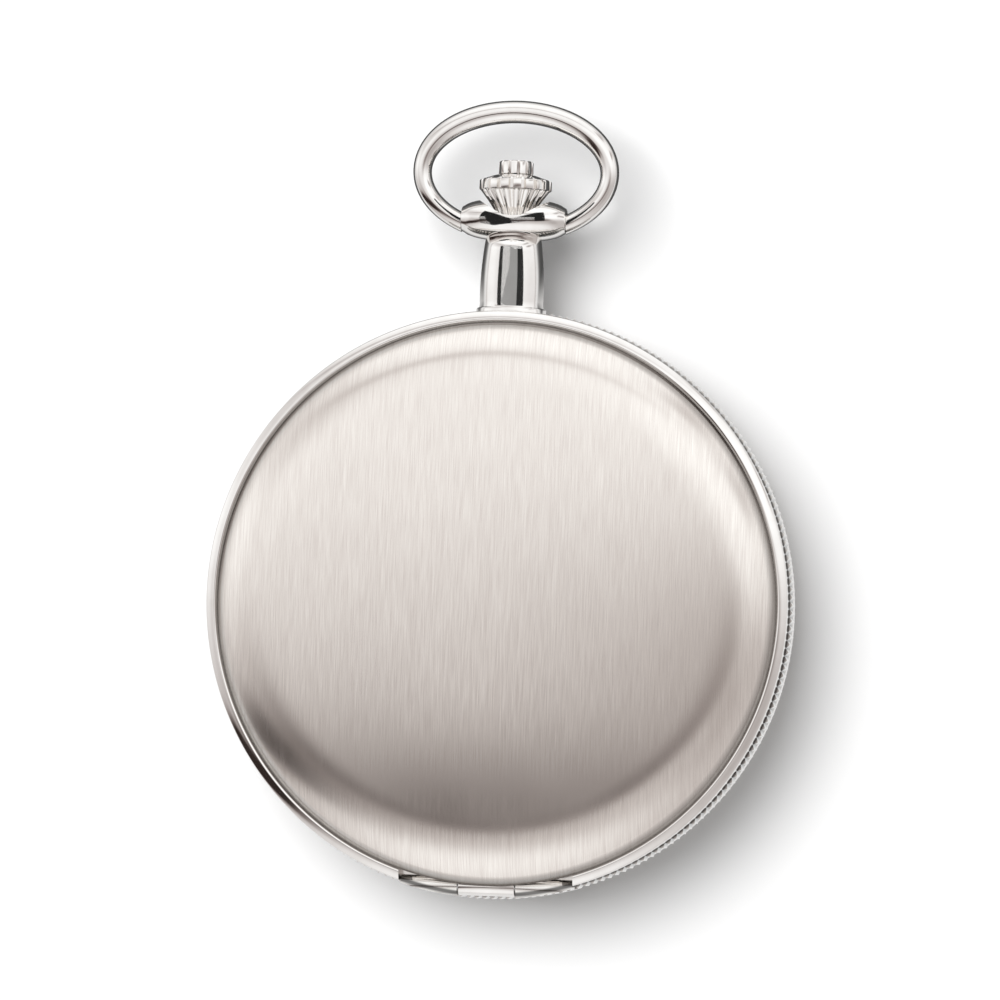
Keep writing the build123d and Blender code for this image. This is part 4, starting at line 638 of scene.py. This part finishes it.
# ------------------------------------------------------------------ bow
BOW_BOX = box_mm("bow")
BOW_WIDE = BOW_BOX[1][0] - 0.76
BOW_TOP = BOW_BOX[1][1] - 0.85
BOW_HIGH = 5.2
BOW_START = radians(-72)
WIRE_OUT, WIRE_UP = 0.79, 0.84  # half sizes in the bow's plane and across it
WIRE_CREST = 0.18  # how much wider the half size gets at the crest


def make_bow():
    """Oval wire, wider at its crest. Both ends stop on the head's flat sides, with a pin in each."""
    bm = bmesh.new()
    centre_y = BOW_TOP - BOW_HIGH
    count, around = 220, 48
    rings = []
    for i in range(count + 1):
        t = BOW_START + (pi - 2 * BOW_START) * i / count
        middle = Vector((BOW_WIDE * cos(t), centre_y + BOW_HIGH * sin(t), STEM_Z))
        along = Vector((-BOW_WIDE * sin(t), BOW_HIGH * cos(t), 0)).normalized()
        out = Vector((along.y, -along.x, 0))
        half_out = WIRE_OUT + WIRE_CREST * smooth_step((sin(t) + 0.1) / 1.1)
        ring = []
        for s in range(around):
            a = 2 * pi * s / around
            ring.append(bm.verts.new(middle + out * (half_out * cos(a)) + Vector((0, 0, WIRE_UP * sin(a)))))
        rings.append(ring)
    close_rings(bm, rings)
    piece = make_object("bow_loop", bm, [SILVER])
    gap = bmesh.new()
    block(gap, (-HEAD_HALF - 0.05, 29, 0), (HEAD_HALF + 0.05, 35.6, 14))
    boolean(piece, gap, "DIFFERENCE")
    for side in (-1, 1):
        pin = bmesh.new()
        place = Matrix.Translation((side * (HEAD_HALF + 0.1), PIVOT_Y, STEM_Z))
        place = place @ Matrix.Rotation(pi / 2, 4, "Y")
        lathe(pin, [(0, -0.8), (0.5, -0.8), (PIN_R, -0.7), (PIN_R, 0.7), (0.5, 0.8), (0, 0.8)], 48, place)
        boolean(piece, pin, "UNION")
    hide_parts("bow")
    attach(piece, "bow")


make_bow()

# ------------------------------------------------------------------ crown and release button
CROWN_FLUTES, BUTTON_FLUTES = 18, 12
BUTTON_BOX = box_mm("release_button")
PIN_BOX = box_mm("release_pin")
HALF_TOOTH = (0.05, 0.10, 0.13, 0.16, 0.19, 0.24, 0.32, 0.41)  # shares of a pitch, closest at the flank
TOOTH_STEPS = (0.0, *HALF_TOOTH, 0.5, *(1 - step for step in HALF_TOOTH[::-1]))


def tooth_angles(count, turn):
    return [2 * pi * (tooth + step) / count + turn for tooth in range(count) for step in TOOTH_STEPS]


def tooth_cut(angle, count, sharp, turn):
    """1 at the bottom of a gap and 0 on a tooth's top. sharp 1 gives square teeth, 0 gives rounded ribs."""
    part = ((angle - turn) * count / (2 * pi)) % 1.0
    from_gap = min(part, 1 - part)
    square = 1 - smooth_step((from_gap - 0.10) / 0.09)
    rounded = 0.5 + 0.5 * cos(2 * pi * from_gap)
    return sharp * square + (1 - sharp) * rounded**1.2


def fluted_rings(bm, profile, count, place, turn):
    """profile holds (radius, height, cut depth, sharpness) and closes on itself."""
    angles = tooth_angles(count, turn)
    rings = []
    for r, h, depth, sharp in profile:
        ring = []
        for a in angles:
            rr = r - depth * tooth_cut(a, count, sharp, turn)
            ring.append(bm.verts.new(place @ Vector((rr * cos(a), rr * sin(a), h))))
        rings.append(ring)
    close_rings(bm, rings, loop=True)


def make_crown():
    """A ribbed cone under a band of square teeth, hollow at both ends for the stem and the button."""
    bm = bmesh.new()
    top = CROWN_TOP
    band_low, band_high = CROWN_BASE + 1.78, CROWN_BASE + 2.68
    bore, recess, foot = 1.0, 1.53, 1.48
    profile = [(bore, CROWN_SEAT, 0, 0), (1.4, CROWN_SEAT, 0.08, 0), (foot, CROWN_SEAT + 0.06, 0.12, 0)]
    steps = 14
    for i in range(1, steps + 1):
        t = i / steps
        r = foot + (CROWN_R - 0.16 - foot) * (t**1.15)
        profile.append((r, CROWN_SEAT + 0.06 + t * (band_low - CROWN_SEAT - 0.1), 0.13 + 0.2 * t, 0.45))
    profile += [
        (CROWN_R - 0.12, band_low, 0.26, 0.6),
        (CROWN_R - 0.02, band_low + 0.05, 0.34, 1),
        (CROWN_R, band_low + 0.12, 0.36, 1),
        (CROWN_R, band_high - 0.14, 0.36, 1),
        (CROWN_R - 0.04, band_high - 0.05, 0.32, 1),
        (CROWN_R - 0.14, band_high, 0.24, 1),
        (CROWN_R - 0.45, band_high + 0.1, 0, 1),
        (recess + 0.25, top - 0.03, 0, 0),
        (recess + 0.06, top, 0, 0),
        (recess, top - 0.05, 0, 0),
        (recess, top - 0.75, 0, 0),
        (0.5, top - 0.75, 0, 0),
        (0.5, CROWN_BASE + 1.45, 0, 0),
        (bore, CROWN_BASE + 1.45, 0, 0),
    ]
    fluted_rings(bm, profile, CROWN_FLUTES, STEM, radians(90))
    piece = make_object("crown_knob", bm, [SILVER], 26)
    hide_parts("crown")
    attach(piece, "crown")


def make_button():
    """A fluted cap on a rod, with a hole for the cross pin."""
    bm = bmesh.new()
    low, top = BUTTON_BOX[0][1], BUTTON_BOX[1][1]
    base = CROWN_TOP + 0.02
    rod, r = 0.45, 1.47
    profile = [(0.02, low, 0, 0), (rod - 0.06, low, 0, 0), (rod, low + 0.06, 0, 0), (rod, base, 0, 0)]
    profile += [(r - 0.1, base, 0.1, 1), (r, base + 0.08, 0.17, 1), (r, top - 0.16, 0.17, 1)]
    profile += [(r - 0.04, top - 0.07, 0.12, 1), (r - 0.14, top, 0.03, 1), (r - 0.3, top, 0, 1)]
    profile += [(0.02, top, 0, 0)]
    fluted_rings(bm, profile, BUTTON_FLUTES, STEM, radians(75))
    piece = make_object("button_knob", bm, [SILVER], 26)
    pin = bmesh.new()
    pin_y = (PIN_BOX[0][1] + PIN_BOX[1][1]) / 2
    place = Matrix.Translation((0, pin_y, STEM_Z)) @ Matrix.Rotation(pi / 2, 4, "Y")
    lathe(pin, [(0, -2), (0.205, -2), (0.205, 2), (0, 2)], 32, place)
    boolean(piece, pin, "DIFFERENCE")
    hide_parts("release_button")
    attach(piece, "button")


make_crown()
make_button()

# ------------------------------------------------------------------ dial print
DIAL_TOP = box_mm("dial")[1][2]
SECONDS_CENTRE = joint_mm("seconds_spin")
PRINT_THICK = 0.02
TRACK_OUT, TRACK_IN = 19.3, 18.6
SECONDS_OUT, SECONDS_IN, QUARTER_IN = 3.55, 3.09, 2.85
SECONDS_SUNK = 0.1
NUMERAL_R = 15.9
NUMERALS = ("XII", "I", "II", "III", "IIII", "V", "VI", "VII", "VIII", "IX", "X", "XI")


def print_ring(bm, centre, inner, outer, z, segments):
    place = Matrix.Translation((centre[0], centre[1], 0))
    top = z + PRINT_THICK
    lathe(bm, [(inner, z), (outer, z), (outer, top), (inner, top)], segments, place)


def print_bar(bm, centre, angle, inner, outer, width, z):
    """A thin bar that points away from centre; angle is clockwise from 12."""
    verts = block(bm, (-width / 2, inner, 0), (width / 2, outer, PRINT_THICK))
    turn = Matrix.Translation((centre[0], centre[1], z)) @ Matrix.Rotation(-angle, 4, "Z")
    bmesh.ops.transform(bm, matrix=turn, verts=verts)


def stroke(bm, x0, y0, x1, y1, width, place):
    """One stroke of a numeral: a slanted bar between two heights."""
    half = width / 2
    corners = ((x0 - half, y0), (x0 + half, y0), (x1 + half, y1), (x1 - half, y1))
    low = [bm.verts.new(place @ Vector((x, y, 0))) for x, y in corners]
    high = [bm.verts.new(v.co + Vector((0, 0, PRINT_THICK))) for v in low]
    bm.faces.new(low[::-1])
    bm.faces.new(high)
    for i in range(4):
        n = (i + 1) % 4
        bm.faces.new((low[i], low[n], high[n], high[i]))


LETTER_WIDTH = {"I": 0.62, "V": 1.45, "X": 1.35}
# each stroke's x at the foot and at the head, from the letter's middle, and whether it is the thick one
STROKES = {
    "I": ((0, 0, True),),
    "V": ((0, -0.45, True), (0.05, 0.5, False)),
    "X": ((0.42, -0.42, True), (-0.42, 0.42, False)),
}


def numeral(bm, text, angle):
    """A Roman numeral with serifs, its foot towards the dial's centre."""
    thick, thin, serif = 0.42, 0.16, 0.12
    foot, head = -1.55, 1.55
    place = Matrix.Rotation(-angle, 4, "Z") @ Matrix.Translation((0, NUMERAL_R, DIAL_TOP))
    half = sum(LETTER_WIDTH[c] for c in text) / 2
    x = -half
    for c in text:
        middle = x + LETTER_WIDTH[c] / 2
        for lower, upper, bold in STROKES[c]:
            stroke(bm, middle + lower, foot, middle + upper, head, thick if bold else thin, place)
        x += LETTER_WIDTH[c]
    for y in (foot, head - serif):
        verts = block(bm, (-half, y, 0), (half, y + serif, PRINT_THICK))
        bmesh.ops.transform(bm, matrix=place, verts=verts)


def make_print():
    """Minute track, numerals with 6 left out for the seconds dial, and the seconds track."""
    bm = bmesh.new()
    centre = (0, 0)
    print_ring(bm, centre, TRACK_OUT, TRACK_OUT + 0.07, DIAL_TOP, 360)
    print_ring(bm, centre, TRACK_IN - 0.07, TRACK_IN, DIAL_TOP, 360)
    for minute in range(60):
        width = 0.34 if minute % 5 == 0 else 0.12
        print_bar(bm, centre, 2 * pi * minute / 60, TRACK_IN, TRACK_OUT, width, DIAL_TOP)
    for hour, text in enumerate(NUMERALS):
        if text != "VI":
            numeral(bm, text, 2 * pi * hour / 12)
    sunk = DIAL_TOP - SECONDS_SUNK
    print_ring(bm, SECONDS_CENTRE, SECONDS_OUT, SECONDS_OUT + 0.06, sunk, 120)
    print_ring(bm, SECONDS_CENTRE, SECONDS_IN - 0.04, SECONDS_IN, sunk, 120)
    for second in range(60):
        inner = QUARTER_IN if second % 15 == 0 else SECONDS_IN
        width = 0.14 if second % 5 == 0 else 0.06
        print_bar(bm, SECONDS_CENTRE, 2 * pi * second / 60, inner, SECONDS_OUT, width, sunk)
    piece = make_object("dial_print", bm, [BLACK_INK], 30)
    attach(piece, "case")


make_print()

# ------------------------------------------------------------------ camera
FIELD = 84.95  # width of the view where it is aimed
DISTANCE = 600.0
YAW, PITCH, ROLL = radians(7.5), radians(2.5), radians(2.03)
AIM = Vector((-0.33, 8.85, 7.0))
SENSOR = 36


def make_camera():
    """Almost straight above the watch, a little to the right, from well away."""
    away = Vector((sin(YAW), -sin(PITCH), 0))
    away.z = sqrt(1 - away.length_squared)
    up = Matrix.Rotation(ROLL, 3, away) @ Vector((0, 1, 0))
    right = up.cross(away).normalized()
    up = away.cross(right)
    data = bpy.data.cameras.new("camera")
    data.lens = SENSOR * DISTANCE / FIELD
    data.clip_start = 0.01
    camera = bpy.data.objects.new("camera", data)
    turn = Matrix((right, up, away)).transposed().to_4x4()
    camera.matrix_world = Matrix.Translation((AIM + away * DISTANCE) * MM) @ turn
    scene.collection.objects.link(camera)
    scene.camera = camera


make_camera()


# ------------------------------------------------------------------ light
class Sums:
    """Small arithmetic on shader sockets."""

    def __init__(self, nodes, links):
        self.nodes, self.links = nodes, links

    def __call__(self, operation, *values):
        node = self.nodes.new("ShaderNodeMath")
        node.operation = operation
        for socket, value in zip(node.inputs, values):
            if isinstance(value, (int, float)):
                socket.default_value = value
            else:
                self.links.new(value, socket)
        return node.outputs["Value"]

    def ease(self, value, low, high):
        """0 at low to 1 at high, with level ends."""
        node = self.nodes.new("ShaderNodeMapRange")
        node.interpolation_type = "SMOOTHSTEP"
        node.inputs["From Min"].default_value = low
        node.inputs["From Max"].default_value = high
        self.links.new(value, node.inputs["Value"])
        return node.outputs["Result"]

    def blob(self, x, y, centre, reach):
        """An oval that is 1 at its centre and fades at its reach."""
        dx = self("DIVIDE", self("SUBTRACT", x, centre[0]), reach[0])
        dy = self("DIVIDE", self("SUBTRACT", y, centre[1]), reach[1])
        square = self("ADD", self("MULTIPLY", dx, dx), self("MULTIPLY", dy, dy))
        return self("EXPONENT", self("MULTIPLY", self("POWER", square, 1.6), -1.0))


# the tent brightens from TENT_LOW by TENT_GAIN as the direction's y goes from TENT_FROM to TENT_TO
TENT_LOW, TENT_GAIN, TENT_FROM, TENT_TO = 0.57, 0.39, -0.20, 0.28
HORIZON_TOP, HORIZON_SHARE = 0.14, 0.35
DARKEST = 0.03
SOFT_LIGHT = 0.34
WARMTH = (("Red", 1.0), ("Green", 1.10), ("Blue", 1.13))
# panels in front of the tent: (centre, reach, light each adds or takes), by the direction's x and y
PANELS = (
    ((-0.06, -0.182), (0.30, 0.070), -0.50),
    ((0.25, -0.02), (0.24, 0.16), -0.42),
    ((0.56, -0.31), (0.20, 0.20), -0.10),
    ((-0.08, -0.075), (0.26, 0.05), 0.09),
    ((-0.31, -0.16), (0.20, 0.11), -0.16),
    ((-0.47, -0.26), (0.17, 0.13), -0.44),
    ((-0.73, -0.41), (0.24, 0.14), -0.75),
    ((0.78, 0.46), (0.08, 0.10), -0.55),
    ((0.56, 0.74), (0.10, 0.08), -0.45),
    ((-0.42, 0.06), (0.22, 0.20), 0.08),
    ((-0.92, 0.04), (0.15, 0.30), 0.14),
    ((0.40, 0.33), (0.42, 0.30), 0.15),
    ((-0.20, 0.59), (0.46, 0.05), -0.34),
    ((-0.64, 0.52), (0.22, 0.22), -0.23),
    ((-0.05, 0.88), (0.60, 0.18), 0.15),
    ((-0.10, -0.80), (0.55, 0.34), 0.42),
)


def build_world():
    """Metal sees a bright tent with darker and lighter panels. Everything else gets even soft light."""
    world = bpy.data.worlds.new("tent")
    world.use_nodes = True
    world.cycles.sampling_method = "NONE"
    scene.world = world
    nodes, links = world.node_tree.nodes, world.node_tree.links
    nodes.clear()
    m = Sums(nodes, links)
    place = nodes.new("ShaderNodeTexCoord")
    parts = nodes.new("ShaderNodeSeparateXYZ")
    links.new(place.outputs["Generated"], parts.inputs["Vector"])
    x, y, z = parts.outputs
    lit = m("ADD", TENT_LOW, m("MULTIPLY", m.ease(y, TENT_FROM, TENT_TO), TENT_GAIN))
    for centre, reach, share in PANELS:
        lit = m("ADD", lit, m("MULTIPLY", m.blob(x, y, centre, reach), share))
    low = m("SUBTRACT", 1.0, m.ease(z, 0.0, HORIZON_TOP))
    lit = m("MULTIPLY", lit, m("SUBTRACT", 1.0, m("MULTIPLY", low, HORIZON_SHARE)))
    lit = m("MAXIMUM", lit, DARKEST)
    path = nodes.new("ShaderNodeLightPath")
    seen = path.outputs["Is Camera Ray"]
    glossy = m("MAXIMUM", path.outputs["Is Glossy Ray"], path.outputs["Is Transmission Ray"])
    rest = m("SUBTRACT", 1.0, m("MAXIMUM", seen, glossy))
    even = m("ADD", m("MULTIPLY", rest, SOFT_LIGHT), seen)
    # the darker panels are a little warmer
    warm = nodes.new("ShaderNodeCombineColor")
    for channel, power in WARMTH:
        links.new(m("ADD", m("MULTIPLY", glossy, m("POWER", lit, power)), even), warm.inputs[channel])
    background = nodes.new("ShaderNodeBackground")
    output = nodes.new("ShaderNodeOutputWorld")
    links.new(warm.outputs["Color"], background.inputs["Color"])
    links.new(background.outputs["Background"], output.inputs["Surface"])


def make_key():
    """A broad soft light from the upper left, which mirrors and glass don't see."""
    data = bpy.data.lights.new("key", "SUN")
    data.energy = 3.0
    data.angle = radians(46)
    sun = bpy.data.objects.new("key", data)
    sun.rotation_euler = Vector((-0.32, 0.33, 1)).to_track_quat("Z", "Y").to_euler()
    sun.visible_glossy = False
    sun.visible_transmission = False
    scene.collection.objects.link(sun)


build_world()
make_key()

# ------------------------------------------------------------------ flags over the pendant
FLAG_Z = 14.0
HEAD_SPAN = (31.7, 34.35)
NECK_SPAN = (25.3, 30.9)
NECK_FLAG_LOW, NECK_FLAG_HIGH = 24.0, 34.0


def flag_material(name, value, span):
    """A card that mirrors see, and only from places whose y lies in the span."""
    material, nodes, links, bsdf = new_material(name)
    nodes.remove(bsdf)
    m = Sums(nodes, links)
    geometry = nodes.new("ShaderNodeNewGeometry")
    back = nodes.new("ShaderNodeSeparateXYZ")
    links.new(geometry.outputs["Incoming"], back.inputs["Vector"])
    place = nodes.new("ShaderNodeSeparateXYZ")
    links.new(geometry.outputs["Position"], place.inputs["Vector"])
    length = nodes.new("ShaderNodeLightPath").outputs["Ray Length"]
    start = m("ADD", place.outputs["Y"], m("MULTIPLY", back.outputs["Y"], length))
    shown = m("MULTIPLY", m("GREATER_THAN", start, span[0] * MM), m("LESS_THAN", start, span[1] * MM))
    card = nodes.new("ShaderNodeEmission")
    card.inputs["Color"].default_value = (value, value, value, 1)
    clear = nodes.new("ShaderNodeBsdfTransparent")
    choose = nodes.new("ShaderNodeMixShader")
    links.new(shown, choose.inputs["Fac"])
    links.new(clear.outputs["BSDF"], choose.inputs[1])
    links.new(card.outputs["Emission"], choose.inputs[2])
    links.new(choose.outputs["Shader"], nodes["Material Output"].inputs["Surface"])
    return material


def make_flag(name, corners, material):
    """A flat card that only reflections see."""
    bm = bmesh.new()
    bm.faces.new([bm.verts.new((x, y, FLAG_Z)) for x, y in corners])
    flag = make_object(name, bm, [material])
    flag.visible_camera = False
    flag.visible_diffuse = False
    flag.visible_shadow = False
    flag.visible_transmission = False


def make_head_flags():
    """Two dark wings over the pendant's head that meet in the middle."""
    black = flag_material("flag_over_head", 0.02, HEAD_SPAN)
    low, high = (-0.7, 29.4), (-0.7, 32.8)
    make_flag("head_left", ((-6.0, 28.5), (-3.2, 26.4), low, high, (-2.4, 36.0), (-5.6, 40.5)), black)
    make_flag("head_right", (low, (1.0, 31.2), (4.5, 31.7), (4.5, 40.5), (2.4, 38.6), high), black)


def make_neck_flags():
    """A grey strip over the neck between two dark ones."""
    black = flag_material("flag_over_neck", 0.03, NECK_SPAN)
    grey = flag_material("grey_over_neck", 0.34, NECK_SPAN)
    low, high = NECK_FLAG_LOW, NECK_FLAG_HIGH
    make_flag("neck_left", ((-5.9, low), (-3.7, low), (-3.7, high), (-5.9, high)), black)
    make_flag("neck_middle", ((-3.7, low), (2.3, low), (2.3, high), (-3.7, high)), grey)
    make_flag("neck_right", ((2.3, low), (5.8, low), (4.8, high), (2.3, high)), black)


make_head_flags()
make_neck_flags()

# ------------------------------------------------------------------ floor
FLOOR_HALF = 4000
FLOOR_GLOW, FLOOR_DARK = 0.80, 0.72
CLOSE_RAY = (10, 45)
UNDER_PENDANT = (24, 30)


def make_floor():
    """A pale floor. The camera sees through it from below."""
    bm = bmesh.new()
    bmesh.ops.create_grid(bm, x_segments=1, y_segments=1, size=FLOOR_HALF)
    floor = make_object("floor", bm, [])
    material, nodes, links, bsdf = new_material("pale_floor")
    cloud = stretched_noise(nodes, links, (12, 12, 12), 2.0)
    m = Sums(nodes, links)
    path = nodes.new("ShaderNodeLightPath")
    facing = nodes.new("ShaderNodeNewGeometry")
    split = nodes.new("ShaderNodeSeparateXYZ")
    links.new(facing.outputs["Position"], split.inputs["Vector"])
    # metal sees the floor as an even glow, with painted shade close under the pendant
    far = m.ease(path.outputs["Ray Length"], CLOSE_RAY[0] * MM, CLOSE_RAY[1] * MM)
    under = m.ease(split.outputs["Y"], UNDER_PENDANT[0] * MM, UNDER_PENDANT[1] * MM)
    dark = m("MULTIPLY", m("SUBTRACT", 1.0, far), under)
    seen = nodes.new("ShaderNodeEmission")
    links.new(m("SUBTRACT", FLOOR_GLOW, m("MULTIPLY", dark, FLOOR_DARK)), seen.inputs["Color"])
    links.new(tint(nodes, links, cloud, (0.90, 0.90, 0.90), (0.93, 0.93, 0.93)), bsdf.inputs["Base Color"])
    bsdf.inputs["Roughness"].default_value = 0.9
    bsdf.inputs["Specular IOR Level"].default_value = 0.1
    clear = nodes.new("ShaderNodeBsdfTransparent")
    mirrored = nodes.new("ShaderNodeMixShader")
    links.new(path.outputs["Is Glossy Ray"], mirrored.inputs["Fac"])
    links.new(bsdf.outputs["BSDF"], mirrored.inputs[1])
    links.new(seen.outputs["Emission"], mirrored.inputs[2])
    choose = nodes.new("ShaderNodeMixShader")
    links.new(facing.outputs["Backfacing"], choose.inputs["Fac"])
    links.new(mirrored.outputs["Shader"], choose.inputs[1])
    links.new(clear.outputs["BSDF"], choose.inputs[2])
    links.new(choose.outputs["Shader"], nodes["Material Output"].inputs["Surface"])
    floor.data.materials.append(material)
    # the floor drops out of the way while the back cover or the bow swings under the watch
    drive = floor.driver_add("location", 2).driver
    for name, body in (("cover", "back_cover"), ("loop", "bow")):
        variable = drive.variables.new()
        variable.name = name
        variable.type = "TRANSFORMS"
        variable.targets[0].id = frame["bodies"][body]
        variable.targets[0].transform_type = "ROT_X"
    drive.expression = "-0.00002 - 0.06 * (abs(cover) > 0.02 or abs(loop) > 0.02)"


make_floor()
scene.view_settings.view_transform = "Standard"
